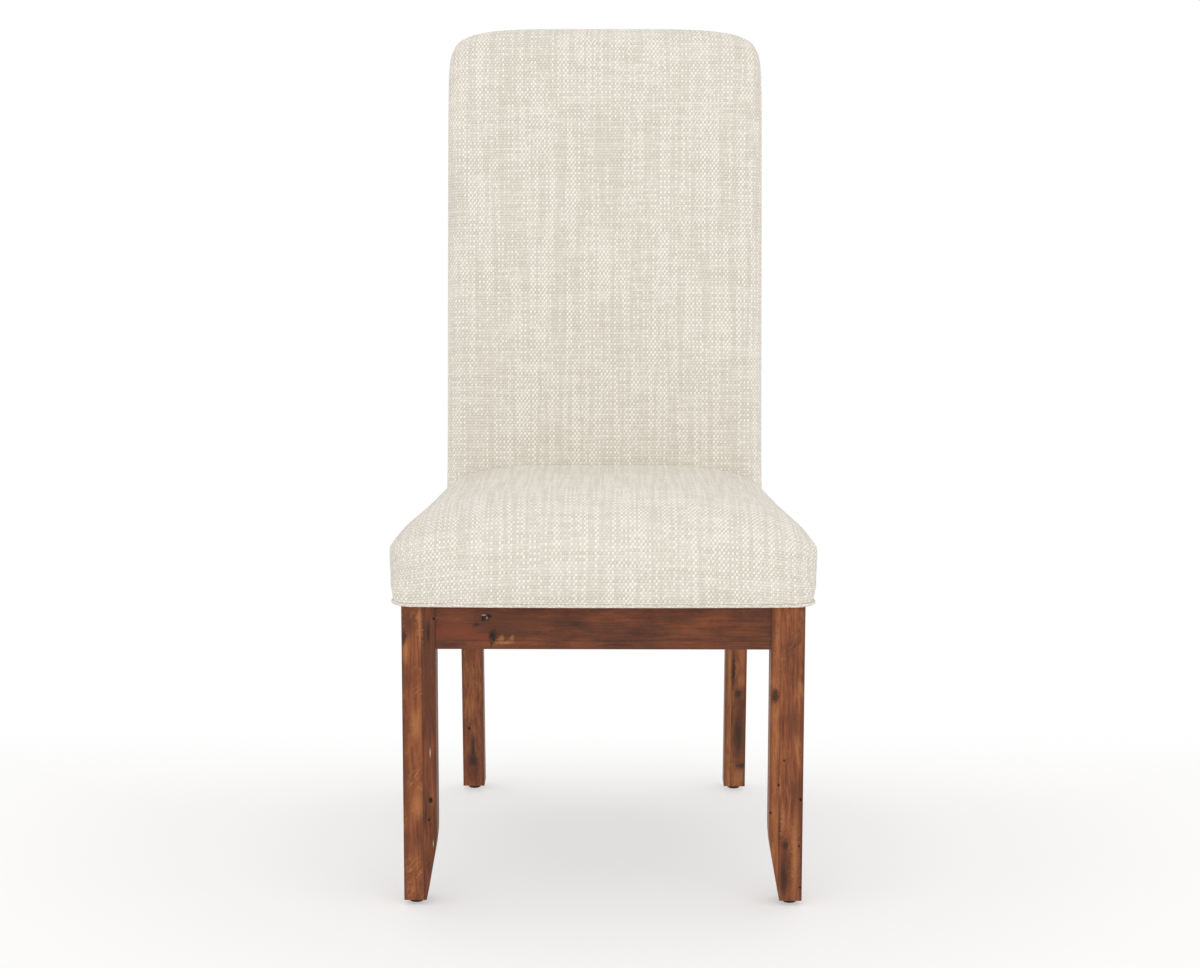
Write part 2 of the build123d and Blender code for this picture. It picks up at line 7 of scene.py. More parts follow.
import bmesh
import bpy
import numpy as np
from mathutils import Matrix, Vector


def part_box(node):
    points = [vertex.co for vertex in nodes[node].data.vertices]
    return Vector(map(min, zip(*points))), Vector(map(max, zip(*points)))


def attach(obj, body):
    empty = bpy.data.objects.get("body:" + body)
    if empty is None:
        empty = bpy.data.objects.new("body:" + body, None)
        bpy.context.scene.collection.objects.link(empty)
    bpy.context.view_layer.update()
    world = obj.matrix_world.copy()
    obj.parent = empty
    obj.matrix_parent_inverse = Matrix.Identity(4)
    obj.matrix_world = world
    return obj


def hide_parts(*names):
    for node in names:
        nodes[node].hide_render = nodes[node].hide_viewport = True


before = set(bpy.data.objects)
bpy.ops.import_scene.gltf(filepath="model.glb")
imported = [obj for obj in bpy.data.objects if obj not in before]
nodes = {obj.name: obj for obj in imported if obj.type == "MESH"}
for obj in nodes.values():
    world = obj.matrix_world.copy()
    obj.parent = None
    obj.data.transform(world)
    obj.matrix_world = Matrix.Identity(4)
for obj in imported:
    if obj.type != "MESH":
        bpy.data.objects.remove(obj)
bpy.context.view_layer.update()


# Front legs
# Square posts of reclaimed hardwood, each glued up from two boards and stained reddish brown.
# Dowels hold the aprons to them, and the inner face runs out to a narrow foot.

class Finish:
    """A material in the making: each method adds one node and returns its output."""

    def __init__(self, name):
        self.material = bpy.data.materials.new(name)
        self.material.use_nodes = True
        self.tree = self.material.node_tree
        self.surface = self.tree.nodes["Principled BSDF"]

    def feed(self, socket, value):
        """Links an output to a socket, or sets the socket to a plain value."""
        if isinstance(value, bpy.types.NodeSocket):
            self.tree.links.new(value, socket)
        else:
            socket.default_value = value

    def node(self, kind, inputs, output=0, **options):
        made = self.tree.nodes.new(kind)
        for option, value in options.items():
            setattr(made, option, value)
        for socket, value in inputs.items():
            self.feed(made.inputs[socket], value)
        return made.outputs[output]

    def math(self, operation, first, second=0.0, third=0.0):
        return self.node("ShaderNodeMath", {0: first, 1: second, 2: third}, operation=operation)

    def add(self, first, second):
        return self.math("ADD", first, second)

    def minus(self, first, second):
        return self.math("SUBTRACT", first, second)

    def times(self, first, second):
        return self.math("MULTIPLY", first, second)

    def over(self, first, second):
        return self.math("DIVIDE", first, second)

    def larger(self, first, second):
        return self.math("MAXIMUM", first, second)

    def scaled(self, value, slope, start):
        """The value times a slope, plus what it starts from."""
        return self.math("MULTIPLY_ADD", value, slope, start)

    def wave(self, value, pitch):
        """Sine that repeats once in every pitch."""
        return self.math("SINE", self.times(value, 2.0 * math.pi / pitch))

    def apart(self, first, second):
        """Distance between two values."""
        return self.math("ABSOLUTE", self.minus(first, second))

    def centred(self, noise):
        """Noise about zero instead of about a half."""
        return self.minus(noise, 0.5)

    def place(self):
        """The object's own coordinates, in metres."""
        return self.node("ShaderNodeTexCoord", {}, "Object")

    def split(self, vector):
        """X, Y and Z of a vector."""
        made = self.tree.nodes.new("ShaderNodeSeparateXYZ")
        self.feed(made.inputs[0], vector)
        return made.outputs[:]

    def vector(self, x, y, z=0.0):
        return self.node("ShaderNodeCombineXYZ", {0: x, 1: y, 2: z})

    def noise(self, place, scale, detail=2.0, roughness=0.5):
        """Fractal noise from about 0.25 to 0.75, with features 1 / scale metres across."""
        inputs = {"Vector": place, "Scale": scale, "Detail": detail, "Roughness": roughness}
        return self.node("ShaderNodeTexNoise", inputs)

    def step(self, value, start, end):
        """Smooth rise from 0 at start to 1 at end; start may be the larger."""
        inputs = {"Value": value, "From Min": start, "From Max": end}
        return self.node("ShaderNodeMapRange", inputs, interpolation_type="SMOOTHSTEP")

    def mix(self, share, first, second, blend="MIX"):
        """Colour between two others, by a share from 0 to 1."""
        inputs = {0: share, 6: first, 7: second}
        return self.node("ShaderNodeMix", inputs, 2, data_type="RGBA", blend_type=blend)

    def ramp(self, value, *stops):
        """Colour read off a row of (place, colour) stops."""
        made = self.tree.nodes.new("ShaderNodeValToRGB")
        elements = made.color_ramp.elements
        while len(elements) < len(stops):
            elements.new(1.0)
        for element, (place, colour) in zip(elements, stops):
            element.position = place
            element.color = colour
        self.feed(made.inputs[0], value)
        return made.outputs[0]

    def finish(self, colour, roughness, height=None, depth=0.0, **constants):
        """Joins colour, roughness and a bump, depth metres high, to the surface."""
        self.feed(self.surface.inputs["Base Color"], colour)
        self.feed(self.surface.inputs["Roughness"], roughness)
        for socket, value in constants.items():
            self.surface.inputs[socket.replace("_", " ")].default_value = value
        if height is not None:
            bump = self.node("ShaderNodeBump", {"Height": height, "Distance": depth})
            self.feed(self.surface.inputs["Normal"], bump)
        return self.material


def rgb(red, green, blue):
    return (red, green, blue, 1.0)


def dress(material, *names):
    """Gives CAD nodes a material."""
    for name in names:
        mesh = nodes[name].data
        mesh.materials.clear()
        mesh.materials.append(material)


wood_dark = rgb(0.034, 0.015, 0.0095)
wood_brown = rgb(0.117, 0.0375, 0.0180)
wood_red = rgb(0.205, 0.0605, 0.0240)
wood_blush = rgb(0.230, 0.052, 0.024)
wood_tan = rgb(0.290, 0.0920, 0.0335)
wood_amber = rgb(0.430, 0.172, 0.060)
wood_pale = rgb(0.50, 0.38, 0.29)
hole_black = rgb(0.016, 0.008, 0.006)
stain_steps = [(0.08, wood_dark), (0.33, wood_brown), (0.52, wood_red), (0.68, wood_tan), (0.98, wood_amber)]
grain_sway = 0.012       # how far the grain lines wander sideways
knot_reach = 2.6         # a knot bends the grain within this many times its own size
knot_push = -0.55        # and by this share of the distance from its middle
board_shift = 0.37       # the second board shows its grain from this far further along
fleck_slant = math.radians(50.0)
edge_core, edge_fade = 0.0012, 0.0052   # an edge is dark up to the first distance, and clear past the second
glue_core, glue_fade = 0.0001, 0.0011   # and so is the glue line between two boards
grain_depth = 0.00035


def spot(finish, across, along, mark):
    """1 inside an ellipse, falling to 0 outside it.

    mark is (place across, place along, half width, half length, softness of the rim).
    """
    centre, level, half_width, half_length, soft = mark
    sideways = finish.over(finish.minus(across, centre), half_width)
    lengthways = finish.over(finish.minus(along, level), half_length)
    square = finish.add(finish.times(sideways, sideways), finish.times(lengthways, lengthways))
    return finish.step(finish.math("SQRT", square), 1.0 + soft, 1.0 - soft)


def any_spot(finish, across, along, marks):
    """Largest of the spots at a place."""
    found = 0.0
    for mark in marks:
        found = finish.larger(found, spot(finish, across, along, mark))
    return found


def edge_shade(finish, pairs):
    """Mask of the painted shade along a bar's long edges: 1 where the place is close to one face of each
    pair at once.
    """
    reach = 0.0
    for value, low, high in pairs:
        nearest = finish.math("MINIMUM", finish.apart(value, low), finish.apart(value, high))
        reach = finish.add(reach, nearest)
    return finish.step(reach, edge_fade, edge_core)


def grain_line(finish, across, along, run, board, knots):
    """Place across the boards, swayed by slow noise along the grain and pushed apart by the knots."""
    sway = finish.centred(finish.noise(finish.vector(board, 0.0, run), scale=9.0))
    line = finish.add(across, finish.times(sway, grain_sway))
    for centre, level, half_width, half_length, _ in knots:
        wider = (centre, level, knot_reach * half_width, knot_reach * half_length, 0.9)
        near = finish.times(spot(finish, across, along, wider), knot_push)
        line = finish.add(line, finish.times(finish.minus(across, centre), near))
    return line


def slanted_flecks(finish, across, inward, run):
    """Short pale strokes in clusters: noise drawn out at a slant across the grain."""
    cosine, sine = math.cos(fleck_slant), math.sin(fleck_slant)
    stroke = finish.add(finish.times(across, cosine), finish.times(run, sine))
    beside = finish.minus(finish.times(run, cosine), finish.times(across, sine))
    fleck = finish.noise(finish.vector(finish.times(stroke, 0.30), inward, beside), scale=480.0)
    cluster = finish.noise(finish.vector(across, inward, finish.times(run, 0.5)), scale=48.0)
    return finish.times(finish.step(fleck, 0.44, 0.70), finish.step(cluster, 0.46, 0.66))


def stained_wood(name, axes, joint, boards, edges, knots=(), clouds=(), glows=(), blushes=(), holes=(),
                 scratches=(), gloss=0.22):
    """Stained boards: streaks, figure, knots, worm holes and scratches along one axis of the piece.

    axes numbers the axis across the boards, the one into the piece and the one along the grain.
    joint is where two boards meet across the piece, and each board has (tone, streaks, flames, flecks).
    Streaks, pores, mottling and flames are noise drawn out along the grain. The marks come in layers,
    each with the share that it shows, its strength and its colour. The brown along the long edges is painted
    shade.
    """
    finish = Finish(name)
    place = finish.split(finish.place())
    across, inward, along = (place[axis] for axis in axes)
    second = finish.math("GREATER_THAN", across, joint)
    tone, streaks, flames, flecks = (finish.scaled(second, far - near, near) for near, far in zip(*boards))
    run = finish.add(along, finish.times(second, board_shift))
    line = grain_line(finish, across, along, run, second, knots)

    def drawn_out(start, scale, stretch, detail=2.0, roughness=0.5):
        """Noise whose features are one over stretch times longer along the grain than across it."""
        drawn = finish.vector(start, inward, finish.times(run, stretch))
        return finish.noise(drawn, scale, detail, roughness)

    streak = drawn_out(line, scale=300.0, stretch=0.05, detail=5.0, roughness=0.62)
    pore = drawn_out(line, scale=1500.0, stretch=0.022)
    mottle = drawn_out(across, scale=52.0, stretch=0.42, detail=3.0)
    chip = finish.noise(finish.vector(across, inward, along), scale=420.0)
    for value, weight in ((streak, streaks), (mottle, 0.70), (pore, 0.30), (chip, 0.16)):
        tone = finish.add(tone, finish.times(finish.centred(value), weight))
    colour = finish.ramp(tone, *stain_steps)

    askew = finish.add(across, finish.times(run, 0.12))
    flame = finish.times(finish.step(drawn_out(askew, scale=170.0, stretch=0.14, detail=3.0), 0.50, 0.72),
                         finish.step(drawn_out(across, scale=21.0, stretch=1.0), 0.44, 0.60))
    ragged = finish.scaled(finish.centred(mottle), 0.005, finish.times(finish.centred(chip), 0.006))
    rough = finish.add(across, ragged), finish.add(along, finish.times(ragged, 1.5))
    glue = finish.step(finish.apart(across, joint), glue_fade, glue_core)
    # Painted shade: brown along the bar's long edges, patchy with the streaks.
    painted_edge_shade = finish.times(edge_shade(finish, [(place[axis], low, high) for axis, low, high in edges]),
                        finish.step(streak, 0.30, 0.55))
    hole = any_spot(finish, across, along, holes)
    layers = [
        (flame, flames, wood_amber),
        (slanted_flecks(finish, across, inward, run), flecks, wood_amber),
        (any_spot(finish, *rough, glows), 0.70, wood_amber),
        (any_spot(finish, *rough, blushes), 0.60, wood_blush),
        (any_spot(finish, *rough, clouds), 0.70, wood_brown),
        (any_spot(finish, *rough, knots), 0.85, wood_dark),
        (glue, 0.40, wood_dark),
        (painted_edge_shade, 0.62, wood_brown),
        (hole, 1.0, hole_black),
        (any_spot(finish, across, along, scratches), 0.80, wood_pale)]
    for share, strength, tint in layers:
        colour = finish.mix(finish.times(share, strength), colour, tint)
    roughness = finish.scaled(streak, -0.25, 0.62)
    relief = finish.add(finish.times(streak, 0.55), finish.times(pore, 0.35))
    height = finish.scaled(hole, -3.0, relief)
    return finish.finish(colour, roughness, height, grain_depth, Specular_IOR_Level=gloss)


def leg_edges(name):
    """The two pairs of faces that a leg's long edges run between."""
    low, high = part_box(name)
    return [(0, low.x, high.x), (1, low.y, high.y)]


upright = (0, 1, 2)      # across X, into Y, grain along Z
left_leg_wood = stained_wood(
    "left_leg_wood", upright, joint=-0.2192,
    boards=[(0.555, 0.75, 0.12, 0.70), (0.395, 0.70, 0.05, 0.05)],
    edges=leg_edges("front_leg_left"),
    knots=[(-0.2405, 0.3360, 0.0030, 0.0085, 0.5), (-0.2118, 0.3405, 0.0019, 0.0100, 0.6)],
    clouds=[(-0.2130, 0.2920, 0.0045, 0.0600, 0.7), (-0.2045, 0.0470, 0.0060, 0.0400, 0.7),
            (-0.2400, 0.1720, 0.0040, 0.0300, 0.8), (-0.2350, 0.3520, 0.0060, 0.0140, 0.8)],
    glows=[(-0.2212, 0.3500, 0.0022, 0.0260, 0.7), (-0.2390, 0.3180, 0.0035, 0.0120, 0.7),
           (-0.2275, 0.2270, 0.0050, 0.0140, 0.9), (-0.2260, 0.1270, 0.0050, 0.0120, 0.9)],
    holes=[(-0.2040, 0.3592, 0.0014, 0.0016, 0.3), (-0.2099, 0.1333, 0.0022, 0.0036, 0.3),
           (-0.2121, 0.1087, 0.0012, 0.0015, 0.3)],
    scratches=[(-0.2100, 0.1930, 0.0008, 0.0052, 0.6), (-0.2072, 0.0786, 0.0006, 0.0036, 0.6)])
right_leg_wood = stained_wood(
    "right_leg_wood", upright, joint=0.2140,
    boards=[(0.71, 1.10, 0.50, 0.20), (0.515, 0.95, 0.65, 0.30)],
    edges=leg_edges("front_leg_right"),
    knots=[(0.2075, 0.2634, 0.0042, 0.0088, 0.5), (0.2152, 0.0950, 0.0008, 0.0200, 0.5),
           (0.2225, 0.0780, 0.0032, 0.0050, 0.9), (0.2215, 0.0380, 0.0040, 0.0190, 0.95)],
    clouds=[(0.2040, 0.3420, 0.0040, 0.0360, 0.6), (0.2225, 0.0420, 0.0068, 0.0330, 0.5),
            (0.2305, 0.2320, 0.0060, 0.0200, 0.8), (0.2425, 0.0770, 0.0022, 0.0700, 0.4)],
    glows=[(0.2040, 0.2820, 0.0030, 0.0100, 0.8), (0.2045, 0.2420, 0.0030, 0.0100, 0.8),
           (0.2340, 0.0620, 0.0036, 0.0460, 0.8), (0.2190, 0.1120, 0.0025, 0.0160, 0.8)],
    holes=[(0.2198, 0.1839, 0.0010, 0.0013, 0.3), (0.2136, 0.1533, 0.0013, 0.0020, 0.3),
           (0.2406, 0.1350, 0.0015, 0.0020, 0.3), (0.2040, 0.1183, 0.0012, 0.0015, 0.3),
           (0.2391, 0.0762, 0.0011, 0.0014, 0.3), (0.2412, 0.0239, 0.0011, 0.0013, 0.3)])
dress(left_leg_wood, "front_leg_left")
dress(right_leg_wood, "front_leg_right")


# Rear legs
# One bent piece of the same hardwood from the floor to the top of the back, sawn to shape.
# Above the seat it is the post that the back's rails, webbing and covers are fixed to.

left_post_wood = stained_wood(
    "left_post_wood", upright, joint=-0.1500, gloss=0.32,
    boards=[(0.64, 1.20, 0.20, 0.20), (0.64, 1.20, 0.20, 0.20)],
    edges=[(0, *(corner.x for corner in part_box("rear_leg_left")))],
    knots=[(-0.1848, 0.0460, 0.0064, 0.0095, 0.6), (-0.1855, 0.0620, 0.0022, 0.0150, 0.8)],
    clouds=[(-0.1852, 0.0520, 0.0095, 0.0330, 0.8), (-0.1835, 0.0260, 0.0050, 0.0170, 0.8),
            (-0.1880, 0.2520, 0.0070, 0.0500, 0.8)],
    holes=[(-0.1903, 0.0939, 0.0015, 0.0019, 0.3)])
right_post_wood = stained_wood(
    "right_post_wood", upright, joint=0.1793, gloss=0.32,
    boards=[(0.84, 0.90, 0.30, 0.0), (0.64, 1.30, 0.45, 0.20)],
    edges=[(0, *(corner.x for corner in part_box("rear_leg_right")))],
    knots=[(0.1880, 0.1467, 0.0048, 0.0065, 0.7), (0.1816, 0.1800, 0.0014, 0.0220, 0.7),
           (0.1945, 0.0385, 0.0075, 0.0030, 0.9), (0.1900, 0.0870, 0.0050, 0.0240, 0.95)],
    clouds=[(0.1812, 0.1820, 0.0026, 0.0300, 0.6), (0.1910, 0.0870, 0.0110, 0.0480, 0.4),
            (0.1905, 0.1020, 0.0085, 0.0300, 0.7),
            (0.1890, 0.0440, 0.0120, 0.0016, 0.6), (0.1950, 0.0350, 0.0070, 0.0020, 0.6),
            (0.1910, 0.1320, 0.0080, 0.0160, 0.8)],
    glows=[(0.1930, 0.2320, 0.0055, 0.0560, 0.8), (0.1920, 0.1660, 0.0045, 0.0110, 0.8),
           (0.1900, 0.0210, 0.0080, 0.0110, 0.7)])
dress(left_post_wood, "rear_leg_left")
dress(right_post_wood, "rear_leg_right")


# Aprons
# Four rails of the same stained hardwood between the legs, doweled and glued, that carry the seat.
# Each is a wide board with a narrow strip glued along its lower edge.

apron_low, apron_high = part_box("front_apron")
strip_joint = apron_low.z + 0.0105   # top of the narrow strip
lengthwise = (2, 1, 0)   # boards stacked along Z, grain along X
apron_wood = stained_wood(
    "apron_wood", lengthwise, joint=strip_joint,
    boards=[(0.380, 0.50, 0.03, 0.0), (0.362, 0.38, 0.0, 0.0)],
    edges=[(2, apron_low.z, apron_high.z), (1, apron_low.y, apron_high.y)],
    knots=[(0.3604, -0.1420, 0.0050, 0.0058, 0.5), (0.3380, -0.1335, 0.0062, 0.0054, 0.5),
           (0.3507, -0.1545, 0.0020, 0.0040, 0.7), (0.3285, -0.1340, 0.0040, 0.0014, 0.6),
           (0.3565, 0.1381, 0.0005, 0.0075, 0.5)],
    clouds=[(0.3520, -0.1150, 0.0120, 0.0300, 0.7), (0.3620, -0.1300, 0.0060, 0.0160, 0.6)],
    glows=[(0.3335, -0.1235, 0.0036, 0.0032, 0.6), (0.3345, -0.1110, 0.0028, 0.0024, 0.6),
           (0.3300, -0.1180, 0.0016, 0.0100, 0.8)],
    blushes=[(0.3450, -0.1800, 0.0100, 0.0300, 0.8), (0.3350, -0.1550, 0.0050, 0.0240, 0.8)],
    holes=[(0.3376, -0.1338, 0.0030, 0.0024, 0.7), (0.3622, -0.1375, 0.0018, 0.0030, 0.7),
           (0.3588, -0.1452, 0.0030, 0.0011, 0.7), (0.3328, -0.1322, 0.0022, 0.0009, 0.7)],
    scratches=[(0.3632, -0.1440, 0.0007, 0.0026, 0.6), (0.3600, -0.1402, 0.0016, 0.0006, 0.6)])
rear_apron_wood = stained_wood(
    "rear_apron_wood", lengthwise, joint=strip_joint,
    boards=[(0.47, 0.7, 0.1, 0.0), (0.45, 0.7, 0.1, 0.0)],
    edges=[(2, apron_low.z, apron_high.z)],
    knots=[(0.3500, 0.0620, 0.0040, 0.0060, 0.6)])
sideways = (2, 0, 1)     # boards stacked along Z, grain along Y
side_apron_wood = stained_wood(
    "side_apron_wood", sideways, joint=strip_joint,
    boards=[(0.50, 0.7, 0.15, 0.0), (0.44, 0.7, 0.12, 0.0)],
    edges=[(2, apron_low.z, apron_high.z)],
    knots=[(0.3480, 0.0300, 0.0040, 0.0070, 0.6)],
    clouds=[(0.3520, -0.1400, 0.0100, 0.0300, 0.8)])
dress(apron_wood, "front_apron")
dress(rear_apron_wood, "rear_apron")
dress(side_apron_wood, "side_apron_left", "side_apron_right")


# Corner blocks, back rails and dowels
# Plain unstained hardwood, planed but not finished, because none of it shows once the chair is covered.
# The blocks are screwed into the corners of the base, and the rails are doweled between the posts.

def raw_wood(name, axes, pale, deep):
    """Unfinished wood: streaks and pores stretched along the grain, between two colours."""
    finish = Finish(name)
    place = finish.split(finish.place())
    across, inward, along = (place[axis] for axis in axes)
    streak_place = finish.vector(across, inward, finish.times(along, 0.06))
    streak = finish.noise(streak_place, scale=260.0, detail=4.0, roughness=0.6)
    pore = finish.noise(finish.vector(across, inward, finish.times(along, 0.03)), scale=1400.0)
    colour = finish.mix(finish.step(finish.add(streak, finish.times(pore, 0.4)), 0.45, 0.95), deep, pale)
    return finish.finish(colour, 0.72, streak, depth=0.0003, Specular_IOR_Level=0.25)


raw_pale, raw_deep = rgb(0.60, 0.42, 0.25), rgb(0.44, 0.28, 0.15)
block_wood = raw_wood("block_wood", sideways, raw_pale, raw_deep)
rail_wood = raw_wood("rail_wood", lengthwise, raw_pale, raw_deep)
dowel_wood = raw_wood("dowel_wood", lengthwise, rgb(0.68, 0.53, 0.35), rgb(0.54, 0.39, 0.23))
dress(block_wood, "corner_block_front_left", "corner_block_front_right", "corner_block_rear_left",
      "corner_block_rear_right")
dress(rail_wood, "crest_rail", "lower_back_rail")
dress(dowel_wood, "base_dowels", "back_frame_dowels")


# Screws and glide nails
# Zinc-plated steel: two screws fix each corner block, one more goes up into the seat board,
# and a nail holds each glide.

def zinc_plate():
    """Bright metal, clouded by slow noise in colour and in roughness."""
    finish = Finish("zinc_plate")
    cloud = finish.noise(finish.place(), scale=420.0, detail=3.0)
    colour = finish.mix(finish.step(cloud, 0.35, 0.65), rgb(0.58, 0.58, 0.56), rgb(0.72, 0.71, 0.68))
    roughness = finish.scaled(cloud, 0.25, 0.22)
    return finish.finish(colour, roughness, cloud, depth=0.00005, Metallic=1.0)


dress(zinc_plate(), "corner_block_screws", "seat_screws", "glide_nails")


# Glides
# Small discs of black plastic, one under each foot, that keep the wood off the floor.
# A nail through the middle holds each one to its leg.

def glide_plastic():
    """Dark moulded plastic with a fine grit, paler and duller where noise says that it is scuffed."""
    finish = Finish("glide_plastic")
    grit = finish.noise(finish.place(), scale=1800.0, detail=3.0)
    scuff = finish.step(finish.noise(finish.place(), scale=160.0, detail=4.0), 0.5, 0.7)
    colour = finish.mix(scuff, rgb(0.014, 0.009, 0.007), rgb(0.034, 0.022, 0.017))
    return finish.finish(colour, finish.scaled(scuff, 0.2, 0.45), grit, depth=0.00006)


dress(glide_plastic(), "glide_front_left", "glide_front_right", "glide_rear_left", "glide_rear_right")


# Seat board and back board
# The seat is built on a plywood board, which screws hold down from below.
# Thin fibreboard closes the back frame, fixed on the rear of the posts.

ply_pair = 0.0048        # thickness of one pale and one dark layer together


def plywood():
    """Rotary-cut faces, and edges in thin layers of turn-about colour."""
    finish = Finish("plywood")
    x, y, z = finish.split(finish.place())
    figure = finish.noise(finish.vector(finish.times(x, 0.12), y, z), scale=90.0, detail=4.0, roughness=0.6)
    layer = finish.step(finish.wave(z, ply_pair), -0.2, 0.2)
    shade = finish.add(finish.times(figure, 0.7), finish.times(layer, 0.3))
    colour = finish.mix(finish.step(shade, 0.25, 0.75), rgb(0.50, 0.34, 0.19), rgb(0.70, 0.53, 0.34))
    return finish.finish(colour, 0.7, figure, depth=0.0002)


def fibreboard():
    """Pressed brown fibres: fine, rough noise."""
    finish = Finish("fibreboard")
    fibre = finish.noise(finish.place(), scale=700.0, detail=5.0, roughness=0.7)
    colour = finish.mix(finish.step(fibre, 0.35, 0.65), rgb(0.22, 0.14, 0.08), rgb(0.34, 0.23, 0.14))
    return finish.finish(colour, 0.75, fibre, depth=0.0002)


dress(plywood(), "seat_board")
dress(fibreboard(), "back_board")


# Back webbing
# Flat elastic straps, woven with ribs, that carry the back's foam.
# Each one is stretched from post to post across their fronts.

rib_pitch, yarn_pitch = 0.0022, 0.0016


def webbing():
    """Ribbed strap: sine ribs across it and finer sine yarns along it."""
    finish = Finish("webbing")
    x, _, z = finish.split(finish.place())
    yarns = finish.times(finish.wave(z, yarn_pitch), 0.3)
    height = finish.scaled(finish.wave(x, rib_pitch), 0.5, yarns)
    # Painted shade and light: the strap is darker in its grooves and lighter on its ribs.
    colour = finish.mix(finish.step(height, -0.7, 0.7), rgb(0.05, 0.035, 0.026), rgb(0.17, 0.13, 0.10))
    return finish.finish(colour, 0.85, height, depth=0.0003)


dress(webbing(), "back_webbing")


# Seat foam and batting
# A block of foam is glued to the seat board and wrapped in soft polyester batting.
# Both have the crowned form of the finished seat, a little smaller.

back_lean = math.radians(9.0)
seat_width = 0.518
seat_depth = 0.460
back_width = 0.432
shoulder_rise = 0.071    # from the hem to where the seat's side line meets the back
bulge_drop = 0.007       # from there down to the seat's widest level
crown_run = 0.115        # the crown rises over this length from the front, and from the sides at the back
side_run = 0.205         # and over this length from the sides further forward
run_blend = 0.20         # the one passes into the other over this length
front_rise = 0.062       # the crown above the widest level, at the front
rear_rise = 0.039        # and where it meets the back
seat_front_bow = 0.006
seat_corner_radius = 0.032
back_front_bow = 0.006
front_points, corner_points, side_points, rear_points = 160, 90, 200, 120
seat_front_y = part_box("seat_cover")[0].y
hem_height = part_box("seat_cover")[0].z
shoulder_height = hem_height + shoulder_rise
widest_height = shoulder_height - bulge_drop
back_y = seat_front_y + seat_depth
taper_start = seat_front_y + seat_front_bow + seat_corner_radius
taper = (seat_width - back_width) / 2 / (back_y - taper_start)


def resampled(points, stops):
    """Points of a polyline at the given distances along it, by linear interpolation of every column."""
    steps = np.hypot(*np.diff(points[:, :2], axis=0).T)
    travel = np.concatenate([[0.0], np.cumsum(steps)])
    places = np.asarray(stops) * travel[-1]
    return np.stack([np.interp(places, travel, column) for column in points.T], axis=-1)


def unit(vectors):
    """Vectors of length one."""
    return vectors / np.linalg.norm(vectors, axis=-1, keepdims=True)


def mirrored_path(half):
    """A path that starts on the middle line, with its mirror image before it.

    Its columns are x, y, normal x and normal y.
    """
    return np.vstack([(half * [-1, 1, -1, 1])[:0:-1], half])


def seat_paths():
    """Plan outline of the seat at its widest, as four paths of (x, y, outward normal).

    The front is a shallow arc that turns through a round corner on to each side.
    The sides run straight in to the width of the back, and the rear follows the back's bowed front.
    """
    bow_radius = (seat_width / 2) ** 2 / (2 * seat_front_bow)
    stretch = math.hypot(1.0, taper)
    centre_x = seat_width / 2 - seat_corner_radius
    for _ in range(6):
        centre_y = seat_front_y + centre_x ** 2 / (2 * bow_radius) + seat_corner_radius
        centre_x = seat_width / 2 - taper * (centre_y - taper_start) - seat_corner_radius * stretch
    turn = np.linspace(math.atan2(-1.0, centre_x / bow_radius), math.atan2(taper, 1.0), corner_points)
    round_normals = np.stack([np.cos(turn), np.sin(turn)], axis=-1)
    corner = np.hstack([[centre_x, centre_y] + seat_corner_radius * round_normals, round_normals])
    x = np.linspace(0.0, corner[0, 0], front_points)[:-1]
    slope = x / bow_radius
    front_normals = unit(np.stack([slope, -np.ones_like(x)], axis=-1))
    front = np.column_stack([x, seat_front_y + x ** 2 / (2 * bow_radius), front_normals])
    rear_x = np.linspace(0.0, back_width / 2, rear_points)
    rear_y = back_y - back_front_bow * (1 - (2 * rear_x / back_width) ** 2)
    rear = np.column_stack([rear_x, rear_y, np.zeros_like(rear_x), np.ones_like(rear_x)])
    share = np.linspace(0.0, 1.0, side_points)[:, None]
    side = np.hstack([corner[-1, :2] + share * (rear[-1, :2] - corner[-1, :2]),
                      np.repeat(corner[-1:, 2:], len(share), axis=0)])
    side[-1, 2:] = rear[-1, 2:] = [1.0, 1.0]
    return {"front": mirrored_path(np.vstack([front, corner])), "right": side,
            "left": side * [-1, 1, -1, 1], "rear": mirrored_path(rear)}


def smooth(value):
    """Smooth rise from 0 to 1 over the same range."""
    value = np.clip(value, 0.0, 1.0)
    return value * value * (3 - 2 * value)


def quarter_round(share):
    """Quarter ellipse: rises steeply from 0 and levels out at 1."""
    return np.sqrt(1 - (1 - np.clip(share, 0.0, 1.0)) ** 2)


def crown(x, y):
    """Height of the seat's top: a quarter ellipse up from the sides times one up from the front.

    What they rise to falls in a straight line from the front of the top to the back.
    """
    half = seat_width / 2 - taper * (y - taper_start)
    from_side = (half - np.abs(x)) / (crown_run + (side_run - crown_run) * smooth((back_y - y) / run_blend))
    from_front = (y - seat_front_y - seat_front_bow * (x / half) ** 2) / crown_run
    fall = np.clip((y - seat_front_y - crown_run) / (seat_depth - crown_run), 0.0, 1.0)
    rise = front_rise + (rear_rise - front_rise) * fall
    return widest_height + rise * quarter_round(from_side) * quarter_round(from_front)


def patch_between(front, rear, left, right):
    """Grid that fills four meeting edges: two ruled sheets added, less the one through the corners."""
    across = np.linspace(0.0, 1.0, len(front))[None, :, None]
    along = np.linspace(0.0, 1.0, len(left))[:, None, None]
    ruled = (1 - along) * front[None] + along * rear[None]
    ruled = ruled + (1 - across) * left[:, None] + across * right[:, None]
    corners = ((1 - along) * ((1 - across) * front[0] + across * front[-1])
               + along * ((1 - across) * rear[0] + across * rear[-1]))
    return ruled - corners


weld_distance = 1e-5


